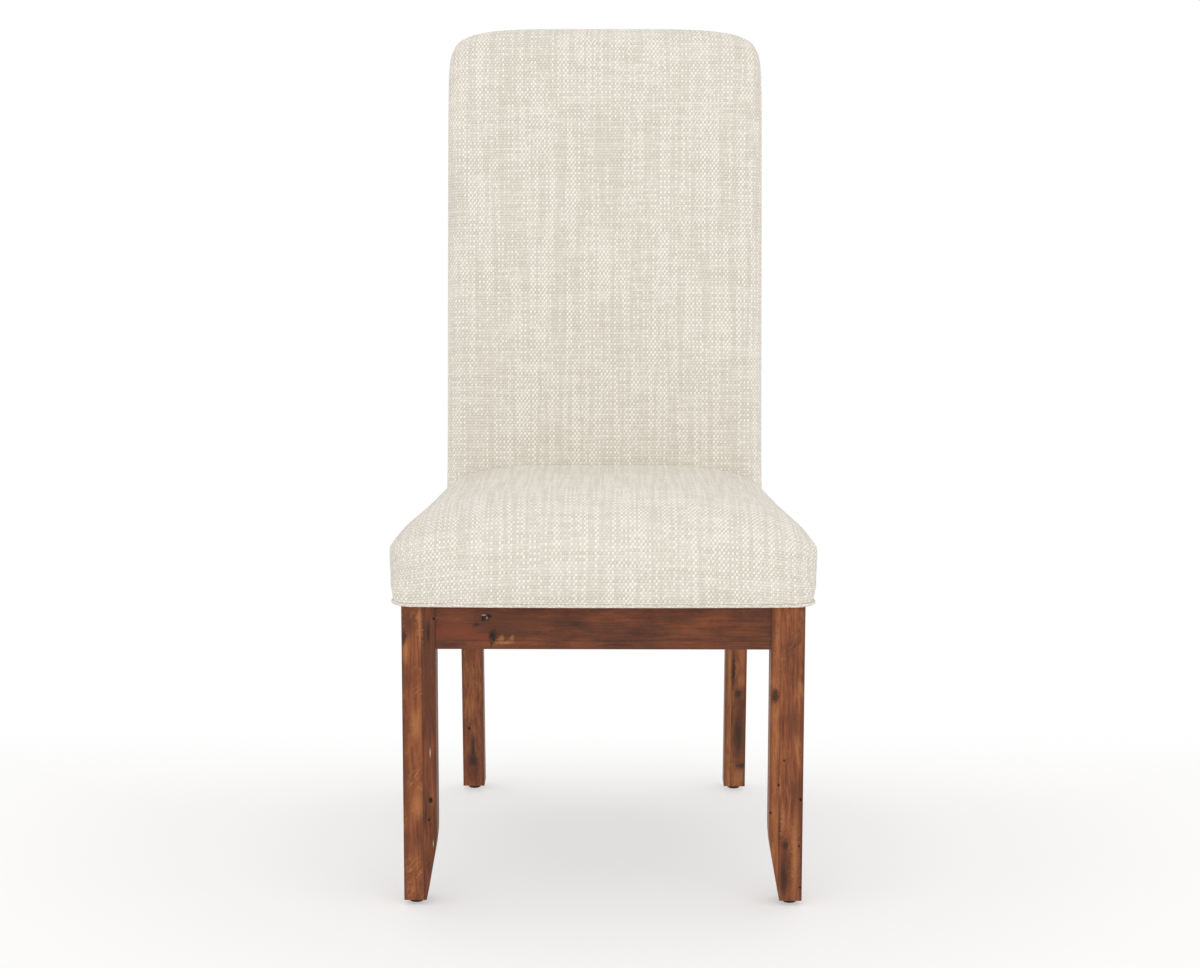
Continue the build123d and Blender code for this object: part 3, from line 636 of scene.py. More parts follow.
def piece_from_patches(name, patches):
    """One mesh from grids of points, welded where their edges meet.

    A patch is (points, weave map in metres).
    """
    points, faces, maps, start = [], [], [], 0
    for grid, weave in patches:
        rows, columns = grid.shape[:2]
        index = start + np.arange(rows * columns).reshape(rows, columns)
        corners = [index[:-1, :-1], index[:-1, 1:], index[1:, 1:], index[1:, :-1]]
        faces.append(np.stack(corners, axis=-1).reshape(-1, 4))
        points.append(grid.reshape(-1, 3))
        maps.append(weave.reshape(-1, 2))
        start += rows * columns
    points, faces, maps = np.vstack(points), np.vstack(faces), np.vstack(maps)
    mesh = bpy.data.meshes.new(name)
    mesh.from_pydata(points, [], faces)
    layer = mesh.uv_layers.new(name="weave")
    layer.data.foreach_set("uv", maps[faces.ravel()].ravel())
    shape = bmesh.new()
    shape.from_mesh(mesh)
    bmesh.ops.remove_doubles(shape, verts=shape.verts, dist=weld_distance)
    bmesh.ops.recalc_face_normals(shape, faces=shape.faces)
    shape.to_mesh(mesh)
    shape.free()
    mesh.polygons.foreach_set("use_smooth", np.ones(len(mesh.polygons), bool))
    piece = bpy.data.objects.new(name, mesh)
    bpy.context.scene.collection.objects.link(piece)
    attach(piece, "root")
    return piece


def arc_lengths(rings):
    """Distance travelled from the first ring to each ring, column by column."""
    steps = np.linalg.norm(np.diff(rings, axis=0), axis=-1)
    return np.vstack([np.zeros(rings.shape[1]), np.cumsum(steps, axis=0)])


seat_columns, seat_rows = 64, 54
shoulder_rings = 8
fold_width = 0.0015      # half width of the little fold at a corner
corner_fold = 0.0011     # and its depth at the seat's front corners
corner_reach = 0.020     # the seat's outline moves in along its normals up to this far
rear_reach = 0.0055      # and up to this far by its sharp rear corners
shoulder_turn = 0.010    # the top turns on to the front and side walls over this much of its plan
rear_turn = 0.003        # and folds down in front of the back over this much
rear_fold_drop = 0.006
rear_zone = 0.055        # the sides pass into that fold from this far in front of the back
rear_blend = 0.050       # over this length
lean_zone = 0.090        # and the seat takes on the lean of the back from this far
lean_blend = 0.080       # over this length
slope_step = 0.002       # the crown's slope at its edge is taken over this length
wall_draw_in = 0.0036    # the walls pull in by this much from the widest level to the hem
wall_levels = np.array([0.88, 0.74, 0.58, 0.42, 0.27, 0.13, 0.04])[:, None]
front_hang = 0.07        # on the front the weave turns to hang straight down over this drop


def stops_with_folds(count, length, first, last):
    """Places along a path from 0 to 1: even, with one close to each end that has a fold."""
    stops = np.linspace(0.0, 1.0, count + 1)
    if first:
        stops[1] = fold_width / length
    if last:
        stops[-2] = 1 - fold_width / length
    return stops


def moved_in(plan, normal, distance, reach):
    """Outline that far inside itself.

    Each point moves against its normal up to the reach, past which the points by a corner would cross.
    What is left of the distance draws the outline in towards its middle.
    """
    straight = np.minimum(distance, reach)
    places = plan - normal * straight[..., None]
    middle = np.array([0.0, seat_front_y + seat_depth / 2])
    half_size = np.array([seat_width / 2, seat_depth / 2])
    return middle + (places - middle) * (1 - (distance - straight)[..., None] / half_size)


def leaning(y, height):
    """How far the lean of the back carries a point backwards, fading out in front of the back."""
    return (height - shoulder_height) * math.tan(back_lean) * smooth((y - back_y + lean_zone) / lean_blend)


def seat_wall(side, path, inset, low_rings):
    """Rings of one wall, from the edge of the top down, and the normals of the outline.

    From the top a round shoulder, a quadratic curve, turns on to the wall, which draws in slightly
    towards the hem. At the rear the shoulder is a tight fold, and the wall leans with the back.
    low_rings lists the (inset, height) of what comes below the wall.
    """
    count = seat_columns if side in ("front", "rear") else seat_rows
    length = np.hypot(*np.diff(path[:, :2], axis=0).T).sum()
    line = resampled(path, stops_with_folds(count, length, side != "rear", side == "front"))
    plan, normal = line[:, :2], line[:, 2:]
    rearness = smooth((plan[:, 1] - back_y + rear_zone) / rear_blend)
    if side == "rear":
        rearness = np.ones(len(line))
    run = shoulder_turn + (rear_turn - shoulder_turn) * rearness
    reach = corner_reach + (rear_reach - corner_reach) * rearness
    edge = moved_in(plan, normal, inset + run, reach)
    further = moved_in(plan, normal, inset + run + slope_step, reach)
    top = crown(*edge.T) - inset
    slope = np.maximum(crown(*further.T) - inset - top, 0.0) / slope_step
    turn = top - slope * run
    bulge = widest_height * (1 - rearness) + (top - rear_fold_drop) * rearness

    curve = np.linspace(0.0, 1.0, shoulder_rings)[:, None]
    shoulder_in = (1 - curve) ** 2 * run
    shoulder_z = (1 - curve) ** 2 * top + 2 * curve * (1 - curve) * turn + curve ** 2 * bulge
    ledge = low_rings[0][1]
    wall_z = ledge + (bulge - ledge) * wall_levels
    wall_in = np.broadcast_to(wall_draw_in * (1 - wall_levels) ** 2, wall_z.shape)
    low_in, low_z = (np.outer(column, np.ones_like(run)) for column in zip(*low_rings))
    ring_in = inset + np.vstack([shoulder_in, wall_in, low_in])
    ring_z = np.vstack([shoulder_z, wall_z, low_z])
    if not inset and side != "rear":
        deepening = smooth(curve[:, 0] * 1.4 - 0.4)
        depth = np.concatenate([deepening, np.ones(len(wall_levels)), np.zeros(len(low_rings))])
        folds = [0, -1] if side == "front" else [0]
        ring_in[:, folds] += corner_fold * depth[:, None]
    x, y = np.moveaxis(moved_in(plan, normal, ring_in, reach), -1, 0)
    return np.dstack([x, y + leaning(y, ring_z), ring_z]), normal


def seat_patches(inset, low_rings):
    """Crowned seat form that far inside the cover: a top, and four walls carried along the outline.

    The weave is measured along the top, and runs on down each wall.
    """
    walls, normals = {}, {}
    for side, path in seat_paths().items():
        walls[side], normals[side] = seat_wall(side, path, inset, low_rings)
    top = patch_between(*(walls[side][0] for side in ("front", "rear", "left", "right")))
    level = crown(top[..., 0], top[..., 1] - leaning(top[..., 1], top[..., 2])) - inset
    top[1:-1, 1:-1, 2] = level[1:-1, 1:-1]
    across = arc_lengths(top.swapaxes(0, 1)).T
    across -= across[:, seat_columns // 2, None]
    weave = np.dstack([across, top[0, :, 1] + arc_lengths(top)])
    edges = {"front": weave[0], "rear": weave[-1], "left": weave[:, 0], "right": weave[:, -1]}
    patches = [(top, weave)]
    for side, rings in walls.items():
        drop = arc_lengths(rings)[..., None]
        hung = edges[side][None] + normals[side][None] * drop
        if side == "front":
            boxed = np.dstack([np.broadcast_to(edges[side][:, 0], drop.shape[:2]),
                               edges[side][seat_columns // 2, 1] - drop[..., 0]])
            hung = hung + smooth(drop / front_hang) * (boxed - hung)
        patches.append((rings, hung))
    return patches


def bottom_patch(patches):
    """Flat grid that closes the lowest rings of the four walls."""
    front, right, left, rear = (rings[-1] for rings, _ in patches[1:])
    floor = patch_between(front, rear, left, right)
    return floor, floor[..., :2]


board_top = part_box("seat_board")[1].z
layer_gap = 0.0003
cover_thickness = 0.0015
batting_thickness = 0.008
batting_inset = 2 * cover_thickness + layer_gap
foam_inset = batting_inset + batting_thickness
foot_in = 0.0040         # foam and batting draw in by this much at the board
foot_turn = 0.0006


def closed_seat_form(name, inset):
    """Seat form that stands on the board, closed underneath."""
    patches = seat_patches(inset, [(foot_in, board_top + foot_turn), (foot_in, board_top)])
    return piece_from_patches(name, [*patches, bottom_patch(patches)])


def soft_fill(name, pale, deep, scale, depth):
    """Foam or fibre: a fine random grain of two close colours."""
    finish = Finish(name)
    grain = finish.noise(finish.place(), scale, detail=4.0, roughness=0.65)
    colour = finish.mix(finish.step(grain, 0.35, 0.65), deep, pale)
    return finish.finish(colour, 0.95, grain, depth, Specular_IOR_Level=0.1)


foam_pale, foam_deep = rgb(0.82, 0.74, 0.50), rgb(0.66, 0.57, 0.36)
batting_pale, batting_deep = rgb(0.88, 0.88, 0.86), rgb(0.76, 0.76, 0.74)
foam_stuff = soft_fill("foam_stuff", foam_pale, foam_deep, scale=1100.0, depth=0.0006)
batting_stuff = soft_fill("batting_stuff", batting_pale, batting_deep, scale=420.0, depth=0.0010)
seat_foam = closed_seat_form("seat_foam_block", foam_inset)
seat_foam.data.materials.append(foam_stuff)
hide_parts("seat_foam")
seat_batting = closed_seat_form("seat_batting_wrap", batting_inset)
seat_batting.data.materials.append(batting_stuff)
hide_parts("seat_batting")


# Seat cover
# Cream plain-woven cloth with thick and thin yarns, pulled over the padded board and stapled beneath it.
# It is eased round the front corners with one small fold each, and its hem tucks in behind the welt.

warp_pitch = 0.0026      # between neighbouring white yarns, which run front to rear and up the back
weft_pitch = 0.0037      # between neighbouring oatmeal yarns, which run across
warp_waver, weft_waver = 0.0022, 0.0016     # how far the yarns wander sideways
warp_twist = -0.14       # how far a white yarn slants in each crossing, as a share of its pitch
warp_slow, weft_slow = 0.021, 0.035         # how fast a yarn's own noise changes, from crossing to crossing
warp_apart, weft_apart = 5.37, 7.13         # how far apart neighbouring yarns read that noise
weave_depth = 0.00042
warp_deep, warp_pale = rgb(0.762, 0.712, 0.632), rgb(0.925, 0.882, 0.815)
weft_pale, weft_deep = rgb(0.765, 0.715, 0.630), rgb(0.665, 0.620, 0.530)
oatmeal = rgb(0.650, 0.605, 0.510)


def woven_cloth(name):
    """Plain weave from the cloth's own map in metres.

    Each yarn is a round rib that waves over and under the crossing ones, as a sine along its length,
    and the higher yarn shows. Yarns differ in tint from one to the next and slowly along their length.
    """
    finish = Finish(name)
    map_u, map_v, _ = finish.split(finish.node("ShaderNodeUVMap", {}, uv_map="weave"))
    waver = finish.centred(finish.noise(finish.vector(map_u, map_v), scale=60.0))
    v = finish.over(finish.scaled(waver, weft_waver, map_v), weft_pitch)
    weft_yarn = finish.math("FLOOR", v)
    slant = finish.times(finish.centred(finish.minus(v, weft_yarn)), warp_twist)
    u = finish.add(finish.over(finish.scaled(waver, warp_waver, map_u), warp_pitch), slant)
    warp_yarn = finish.math("FLOOR", u)

    def rib(place, yarn):
        """Round section of a yarn: a half circle across it."""
        offset = finish.scaled(finish.minus(place, yarn), 2.0, -1.0)
        return finish.math("SQRT", finish.minus(1.0, finish.times(offset, offset)))

    def over_and_under(along, yarn):
        """Sine along a yarn, turned over on every second yarn."""
        turn = finish.scaled(finish.math("FLOORED_MODULO", yarn, 2.0), -2.0, 1.0)
        return finish.times(finish.wave(along, 2.0), turn)

    def slow_noise(u_place, v_place):
        """Noise with features about one unit long in each place."""
        return finish.noise(finish.vector(u_place, v_place), scale=1.0)

    thick = slow_noise(finish.times(warp_yarn, warp_apart), finish.times(v, warp_slow))
    slub = slow_noise(finish.times(u, weft_slow), finish.times(weft_yarn, weft_apart))
    patch = slow_noise(finish.times(u, 0.055), finish.times(v, 0.16))
    crossing = finish.node("ShaderNodeTexWhiteNoise", {"Vector": finish.vector(warp_yarn, weft_yarn)},
                           noise_dimensions="2D")
    uneven = finish.scaled(crossing, 0.7, -1.30)
    warp_wave = finish.add(over_and_under(v, warp_yarn), finish.scaled(thick, 1.6, uneven))
    weft_wave = finish.times(over_and_under(u, weft_yarn), -1.0)
    warp_height = finish.scaled(rib(u, warp_yarn), 0.75, warp_wave)
    weft_height = finish.scaled(rib(v, weft_yarn), 0.75, weft_wave)
    height = finish.larger(warp_height, weft_height)
    warp_over = finish.step(finish.minus(warp_height, weft_height), -0.22, 0.22)
    bright = finish.scaled(finish.centred(crossing), 0.12, thick)
    warp_colour = finish.mix(finish.step(bright, 0.41, 0.61), warp_deep, warp_pale)
    weft_colour = finish.mix(finish.step(slub, 0.36, 0.64), weft_pale, weft_deep)
    colour = finish.mix(warp_over, weft_colour, warp_colour)
    colour = finish.mix(finish.times(finish.step(patch, 0.50, 0.72), 0.18), colour, oatmeal)
    # Painted shade and light in the weave: the colour is darker where the yarns lie low and a little lighter
    # where they stand high.
    shade = finish.scaled(finish.step(height, -0.1, 1.0), 0.16, 0.89)
    colour = finish.mix(1.0, colour, finish.vector(shade, shade, shade), "MULTIPLY")
    return finish.finish(colour, 0.92, height, weave_depth, Specular_IOR_Level=0.18, Sheen_Weight=0.12,
                         Sheen_Roughness=0.5)


press_steps = 20


def pressed_out(piece, held, pressure, most):
    """Lets the padding press the cover out: cloth under air pressure with no weight, for a few steps.

    held marks the points that staples and seams keep in place. A point moves straight out only, by most
    times the hyperbolic tangent of its free travel over most, so the padding never shrinks.
    """
    scene = bpy.context.scene
    group = piece.vertex_groups.new(name="held")
    group.add(np.flatnonzero(held).tolist(), 1.0, "REPLACE")
    cloth = piece.modifiers.new("padding", "CLOTH")
    cloth.settings.use_pressure = True
    cloth.settings.uniform_pressure_force = pressure
    cloth.settings.effector_weights.gravity = 0.0
    cloth.settings.vertex_group_mass = group.name
    cloth.settings.quality = 6
    cloth.settings.tension_stiffness = 40.0
    cloth.settings.compression_stiffness = 40.0
    cloth.settings.shear_stiffness = 20.0
    cloth.settings.bending_stiffness = 2.0
    cloth.point_cache.frame_start = 1
    cloth.point_cache.frame_end = press_steps
    for step in range(1, press_steps + 1):
        scene.frame_set(step)
    rest = place_of(piece.data)
    outward = np.empty_like(rest)
    piece.data.vertex_normals.foreach_get("vector", outward.ravel())
    swollen = piece.evaluated_get(bpy.context.evaluated_depsgraph_get()).to_mesh()
    free = np.clip(np.sum((place_of(swollen) - rest) * outward, axis=1, keepdims=True), 0.0, None)
    piece.modifiers.remove(cloth)
    piece.vertex_groups.remove(group)
    piece.data.vertices.foreach_set("co", (rest + outward * most * np.tanh(free / most)).ravel())
    piece.data.update()
    scene.frame_set(1)


def place_of(mesh):
    """Points of a mesh, one row each."""
    points = np.empty((len(mesh.vertices), 3), np.float32)
    mesh.vertices.foreach_get("co", points.ravel())
    return points


def cloth_layers(piece):
    """Smooths a cover, and gives the cloth its thickness on the inside."""
    smoothing = piece.modifiers.new("smooth", "SUBSURF")
    smoothing.levels = smoothing.render_levels = 1
    wall = piece.modifiers.new("thickness", "SOLIDIFY")
    wall.thickness = cover_thickness
    wall.offset = -1.0
    wall.thickness_clamp = 1.0


welt_diameter = 0.004
hem_in = 0.0063          # the hem stands this far inside the widest level
flange_in = 0.042        # and its flange reaches this far under the board
ledge_height = hem_height + welt_diameter + layer_gap
held_reach = 0.004       # points this close to a hem or a seam are held
back_contact = 0.012     # and so are those this close to the back

# Below the wall the cloth turns in over the welt and down behind it, and runs on under the board.
# Each ring has its inset, and its rise above the ledge or above the hem.
ledge_turn = [(0.0036, 0.0014), (0.0037, 0.0004), (0.0038, -0.0003), (0.0046, -0.0002),
              (0.0060, -0.0002), (hem_in, -0.0010)]
flange_turn = [(hem_in, 0.0012), (0.0074, 0.0003), (0.0120, 0.0002), (0.0260, 0.0002), (flange_in, 0.0002)]
hem_rings = [(inset, ledge_height + rise) for inset, rise in ledge_turn]
hem_rings += [(inset, hem_height + rise) for inset, rise in flange_turn]
cream_cloth = woven_cloth("cream_cloth")
seat_cover = piece_from_patches("seat_upholstery", seat_patches(0.0, hem_rings))
seat_cover.data.materials.append(cream_cloth)
spots = place_of(seat_cover.data)
stapled = spots[:, 2] < ledge_height + held_reach
back_front = back_y - back_contact + (spots[:, 2] - shoulder_height) * math.tan(back_lean)
against_back = spots[:, 1] > back_front
pressed_out(seat_cover, stapled | against_back, pressure=4.0, most=0.003)
cloth_layers(seat_cover)
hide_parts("seat_cover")


# Welt
# A cord covered with a strip of the same cloth cut on the bias, sewn along the hem.
# It runs down both sides and across the front, and ends where the seat meets the back.

welt_in = 0.0040         # middle of the cord inside the seat's widest level
welt_stop = 3            # points of the outline that are left free before the back
welt_stations, welt_sides = 420, 14


def welt_tube():
    """Round section carried along the sides and the front of the hem, closed at both ends.

    A point is the path's point plus the radius times (outward normal times cosine, up times sine).
    The weave runs at half a right angle to the cord.
    """
    radius = welt_diameter / 2
    paths = seat_paths()
    line = np.vstack([paths["left"][:0:-1], paths["front"], paths["right"][1:]])
    line = resampled(line[welt_stop:-welt_stop], np.linspace(0.0, 1.0, welt_stations))
    outward = unit(line[:, 2:])
    middle = line[:, :2] - outward * welt_in
    turn = np.linspace(0.0, 2 * math.pi, welt_sides + 1)[:, None]
    plan = middle + outward * (radius * np.cos(turn))[..., None]
    height = hem_height + radius + radius * np.sin(turn)
    tube = np.dstack([plan, np.broadcast_to(height, plan.shape[:2])])
    travel = np.concatenate([[0.0], np.cumsum(np.hypot(*np.diff(middle, axis=0).T))])
    weave = np.dstack([travel + turn * radius, travel - turn * radius]) / math.sqrt(2.0)
    ends = []
    for column in (0, -1):
        ring = tube[:, column]
        cap = np.stack([ring, np.broadcast_to(ring[:-1].mean(axis=0), ring.shape)])
        ends.append((cap, cap[..., :2]))
    return [(tube, weave), *ends]


welt = piece_from_patches("hem_welt", welt_tube())
welt.data.materials.append(cream_cloth)
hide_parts("seat_welt")


# Dust cover
# Thin black nonwoven cloth stapled over the underside of the seat board, inside the cover's flange.
# It is drawn tight and hangs a little in the middle.

dust_rise = 0.0010       # edge of the sheet above the hem
dust_sag = 0.0018
dust_ripple = 0.0003
ripples_across, ripples_along = 19.0, 17.0
dot_turns = 2400.0       # the pressed dots follow sines that turn by this many radians in a metre


def dust_patch():
    """Flat sheet inside the flange that sags by a cosine each way, with a faint ripple from its staples.

    The ripple is a sine along each edge times the eighth power of the place between the edges, so it
    fades quickly inwards. It is held flat at the rim itself.
    """
    sheet, _ = bottom_patch(seat_patches(0.0, [(flange_in + layer_gap, hem_height + dust_rise)]))
    rows, columns = sheet.shape[:2]
    across = np.linspace(-1.0, 1.0, columns)[None, :]
    along = np.linspace(-1.0, 1.0, rows)[:, None]
    sag = np.cos(across * math.pi / 2) * np.cos(along * math.pi / 2)
    ripple = np.sin(across * ripples_across) * along ** 8 + np.sin(along * ripples_along) * across ** 8
    inside = 1 - np.maximum(np.abs(across), np.abs(along)) ** 20
    sheet[..., 2] -= dust_sag * sag + dust_ripple * ripple * inside
    return sheet


def nonwoven():
    """Black felted fibres: fine noise with a faint pressed dot pattern."""
    finish = Finish("nonwoven")
    x, y, _ = finish.split(finish.place())
    fibre = finish.noise(finish.place(), scale=1300.0, detail=4.0, roughness=0.7)
    rows, columns = (finish.math("SINE", finish.times(value, dot_turns)) for value in (x, y))
    height = finish.add(fibre, finish.times(finish.times(rows, columns), 0.15))
    colour = finish.mix(finish.step(height, 0.35, 0.75), rgb(0.010, 0.010, 0.011), rgb(0.045, 0.045, 0.047))
    return finish.finish(colour, 0.9, height, depth=0.0002, Specular_IOR_Level=0.2)


dust_sheet = dust_patch()
dust_cover = piece_from_patches("seat_dust_sheet", [(dust_sheet, dust_sheet[..., :2])])
dust_cover.data.materials.append(nonwoven())
if dust_cover.data.polygons[0].normal.z > 0.0:
    dust_cover.data.flip_normals()
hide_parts("seat_dust_cover")


# Back foam and rear batting
# Foam in front of the webbing gives the back its padded face and its round edges.
# Batting softens the board behind, and the covers hold both in place.

back_thickness = 0.080
back_half = back_width / 2
back_top = 0.6337        # top of the back above the seat's shoulder, up the lean
rear_bow_depth = 0.002
top_radius = 0.030       # the roundings in front and behind grow to this along the top
front_edge_radius = 0.024
rear_edge_radius = 0.014
round_rings = 8
press_share = 0.2        # the front rounding keeps this share of its radius where the seat meets it
press_start = 0.02       # and grows to all of it from this far below the seat's shoulder
press_run = 0.06         # over this length
margin_side, margin_top = 0.026, 0.034  # the cover is turned on to the rear by this much
margin_tuck = 0.0016     # and its edge sinks in by this much
shoulder_run = 0.110     # the sides draw in to the rounded top corners over this length
x_power, drop_power = 5, 8
top_narrowing, narrowing_run = 0.028, 0.035
fold_drop = 0.040        # the small fold at a top corner is this far below the top
top_fold = 0.0012        # its depth
fold_aim = np.array([0.0, 0.1])         # the (x, drop) that it pulls towards
hem_run = 0.10           # the edges bend to the level of the hem over this length
foot_run = 0.05          # and the padding's foot is lifted by its inset over this one
top_points = 900
back_columns, back_rows = 48, 66


def back_place(x, rise, depth):
    """Points from the back's own frame: rise runs up its lean and depth runs square to its front."""
    y = back_y + rise * math.sin(back_lean) + depth * math.cos(back_lean)
    z = shoulder_height + rise * math.cos(back_lean) - depth * math.sin(back_lean)
    return np.stack([x, y, z], axis=-1)


def hem_rise(depth):
    """Rise at which the back's cover meets the level of the hem, for a depth behind the front."""
    return (hem_height - shoulder_height + depth * math.sin(back_lean)) / math.cos(back_lean)


def narrowing(drop):
    """Share of the back's width that far below its top: narrower there, back to full as an exponential."""
    return 1 - top_narrowing * np.exp(-drop / narrowing_run)


def top_path():
    """Right half of the back's top outline, from the middle to the fold, as (x, drop below the top).

    It is a superellipse, narrowed: the fifth power of x plus the eighth power of what is left of the
    drop makes one.
    """
    turn = np.linspace(0.0, math.pi / 2, top_points)
    drop = shoulder_run * (1 - np.cos(turn) ** (2 / drop_power))
    x = back_half * np.sin(turn) ** (2 / x_power) * narrowing(drop)
    return np.column_stack([x, drop])[drop <= fold_drop]


def drawn_in(outline, side_in, top_in):
    """Outline moved in by side_in at the sides and top_in at the top, smoothly between."""
    x, drop = outline[..., 0], outline[..., 1]
    inner_drop = np.where(drop < shoulder_run, top_in + drop * (1 - top_in / shoulder_run), drop)
    return np.stack([x * (1 - side_in / back_half), inner_drop], axis=-1)


def front_bow(x):
    """How far the front face stands out: a parabola, highest on the middle line."""
    return back_front_bow * (1 - (x / back_half) ** 2)


def rear_bow(x):
    """The same for the rear face."""
    return rear_bow_depth * (1 - (x / back_half) ** 2)


def bowed(x, depth):
    """Depth with the bow of the front face, which passes into that of the rear through the thickness."""
    share = np.clip(depth / back_thickness, 0.0, 1.0)
    return depth - front_bow(x) * (1 - share) + rear_bow(x) * share


def back_outline(side):
    """Outline of one side of the back as (x, drop), with how much each place belongs to the top."""
    half = top_path()
    if side == "top":
        line = np.vstack([(half * [-1, 1])[:0:-1], half])
        length = np.hypot(*np.diff(line, axis=0).T).sum()
        line = resampled(line, stops_with_folds(back_columns, length, True, True))
    else:
        ends = np.array([half[-1], [back_half, back_top - hem_rise(0.0)]])
        height = ends[1, 1] - ends[0, 1]
        drop = ends[0, 1] + height * stops_with_folds(back_rows, height, True, False)
        left_over = np.clip(1 - drop / shoulder_run, 0.0, 1.0)
        x = back_half * (1 - left_over ** drop_power) ** (1 / x_power) * narrowing(drop)
        line = np.column_stack([x, drop])
    slope = np.gradient(line[:, 1]) / np.hypot(np.gradient(line[:, 0]), np.gradient(line[:, 1]))
    topness = np.clip(1 - (slope / slope[-1]) ** 2, 0.0, 1.0) if side == "top" else np.zeros(len(line))
    if side == "left":
        line = line * [-1, 1]
    return line, topness


def back_edge(line, topness, inset):
    """Outline and depth of each ring: front rounding, edge, rear rounding and turned-in margin.

    A rounding goes from the drawn-in outline to the full one as one less the sine of an angle,
    while its depth grows as the radius times one less the cosine. The front one is pressed to a fifth
    of its radius where the seat meets the back.
    """
    fullness = press_share + (1 - press_share) * smooth((back_top - line[:, 1] + press_start) / press_run)
    front_radius = (front_edge_radius + (top_radius - front_edge_radius) * topness) * fullness - inset
    rear_radius = rear_edge_radius + (top_radius - rear_edge_radius) * topness
    front_line = line + (drawn_in(line, front_edge_radius, top_radius) - line) * fullness[:, None]
    rear_line = drawn_in(line, rear_edge_radius, top_radius)
    margin_line = drawn_in(line, margin_side, margin_top)
    angle = np.linspace(0.0, math.pi / 2, round_rings)[:, None]
    outward = (1 - np.sin(angle))[..., None]
    wall = np.array([0.2, 0.4, 0.6, 0.8])[:, None]
    margin = np.array([0.45, 0.85, 1.0])[:, None, None]
    tuck = np.array([0.0, 0.0, margin_tuck])[:, None]
    places = np.concatenate([line + (front_line - line) * outward,
                             np.broadcast_to(line, (len(wall), *line.shape)),
                             line + (rear_line - line) * outward[::-1],
                             rear_line + (margin_line - rear_line) * margin])
    depth = np.vstack([inset + front_radius * (1 - np.cos(angle)),
                       (inset + front_radius) * (1 - wall) + (back_thickness - rear_radius) * wall,
                       back_thickness - rear_radius * (1 - np.cos(angle[::-1])),
                       back_thickness - tuck * np.ones(len(line))])
    return places, depth


def corner_folds(side, line, rings):
    """Pull of the small folds at the top corners: they deepen over four rings from the third."""
    pull = np.zeros((len(line), 1))
    pull[[0, -1] if side == "top" else [0]] = 1.0
    deepening = smooth((np.arange(rings) - 2) / 4.0) * top_fold
    return unit(fold_aim - line) * pull * deepening[:, None, None]


def back_rings(side, inset):
    """Edge of the back carried along one side: its rings, their weave map and their (x, rise)."""
    line, topness = back_outline(side)
    if inset:
        line = drawn_in(line, inset, inset)
        line[:, 1] -= inset * smooth((line[:, 1] - back_top) / foot_run)
    places, depth = back_edge(line, topness, inset)
    if not inset:
        places = places + corner_folds(side, line, len(depth))
    x, drop = np.moveaxis(places, -1, 0)
    depth = bowed(x, depth)
    rise = back_top - drop
    if side != "top":
        low = hem_rise(0.0)
        rise = rise + (hem_rise(depth) - low) * smooth((hem_run - (rise - low)) / hem_run)
    rings = back_place(x, rise, depth)
    full = round_rings - 1
    never_zero = 1e-12
    start = np.stack([x[0], back_top - drop[0]], axis=-1)
    normal = unit(np.stack([x[full] - x[0], drop[0] - drop[full]], axis=-1) + never_zero)
    weave = start + normal * arc_lengths(rings)[..., None]
    return rings, weave, np.stack([x, rise], axis=-1)


def back_patches(inset, rings_used=None):
    """Padded back that far inside the cover: a bowed face, and three edges carried along its outline."""
    edges = [back_rings(side, inset) for side in ("top", "left", "right")]
    top, left, right = (flat[0] for _, _, flat in edges)
    bottom = np.linspace(left[-1], right[-1], back_columns + 1)
    face = patch_between(top, bottom, left, right)
    points = back_place(face[..., 0], face[..., 1], bowed(face[..., 0], inset))
    return [(points, face), *((rings[:rings_used], weave[:rings_used]) for rings, weave, _ in edges)]


def closed_back_form(name, inset):
    """Pad with the back's outline, as deep as the front rounding and cut flat behind and below."""
    patches = back_patches(inset, round_rings)
    face, top, left, right = (grid for grid, _ in patches)
    bottom = np.linspace(left[-1, -1], right[-1, -1], back_columns + 1)
    rear = patch_between(top[-1], bottom, left[-1], right[-1])
    foot = patch_between(face[-1], rear[-1], left[:, -1], right[:, -1])
    return piece_from_patches(name, [*patches, (rear, rear[..., ::2]), (foot, foot[..., :2])])


back_foam = closed_back_form("back_foam_pad", batting_inset)
back_foam.data.materials.append(foam_stuff)
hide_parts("back_foam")

wadding_thickness = 0.0070
wadding_gap = 0.0004     # between the pad and the board
wadding_side = 0.002     # the pad ends this far inside its CAD box
wadding_low = 0.052      # this far above the hem
wadding_high = 0.034     # and this far below the top
board_rear = 0.011       # rear of the back board, in front of the rear of the back
wadding_columns, wadding_rows = 40, 60


def rear_batting_patches():
    """Flat pad between the back board and the cover, rounded at its edges.

    Its thickness is the full one times the square root of two factors, one for the place across and one
    for the place up. Each is one less the twentieth power, so it is flat in the middle and thin at the rim.
    """
    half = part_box("back_rear_batting")[1].x - wadding_side
    board = back_thickness - board_rear
    low, high = hem_rise(board) + wadding_low, back_top - wadding_high
    across = np.linspace(-1.0, 1.0, wadding_columns)[None, :]
    up = np.linspace(-1.0, 1.0, wadding_rows)[:, None]
    rim = np.sqrt(np.clip((1 - across ** 20) * (1 - up ** 20), 0.0, 1.0))
    x, rise = np.broadcast_arrays(across * half, low + (up + 1) / 2 * (high - low))
    front = back_place(x, rise, np.full_like(x, board + wadding_gap))
    rear = back_place(x, rise, board + wadding_gap + wadding_thickness * rim)
    return [(front, front[..., ::2]), (rear, rear[..., ::2])]


rear_batting = piece_from_patches("back_rear_wadding", rear_batting_patches())
rear_batting.data.materials.append(batting_stuff)
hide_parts("back_rear_batting")


# Back cover
# The same cream cloth in one piece over the front, the top and the sides of the back.
# It turns on to the rear as a narrow margin, with one small fold at each top corner, and under the back.

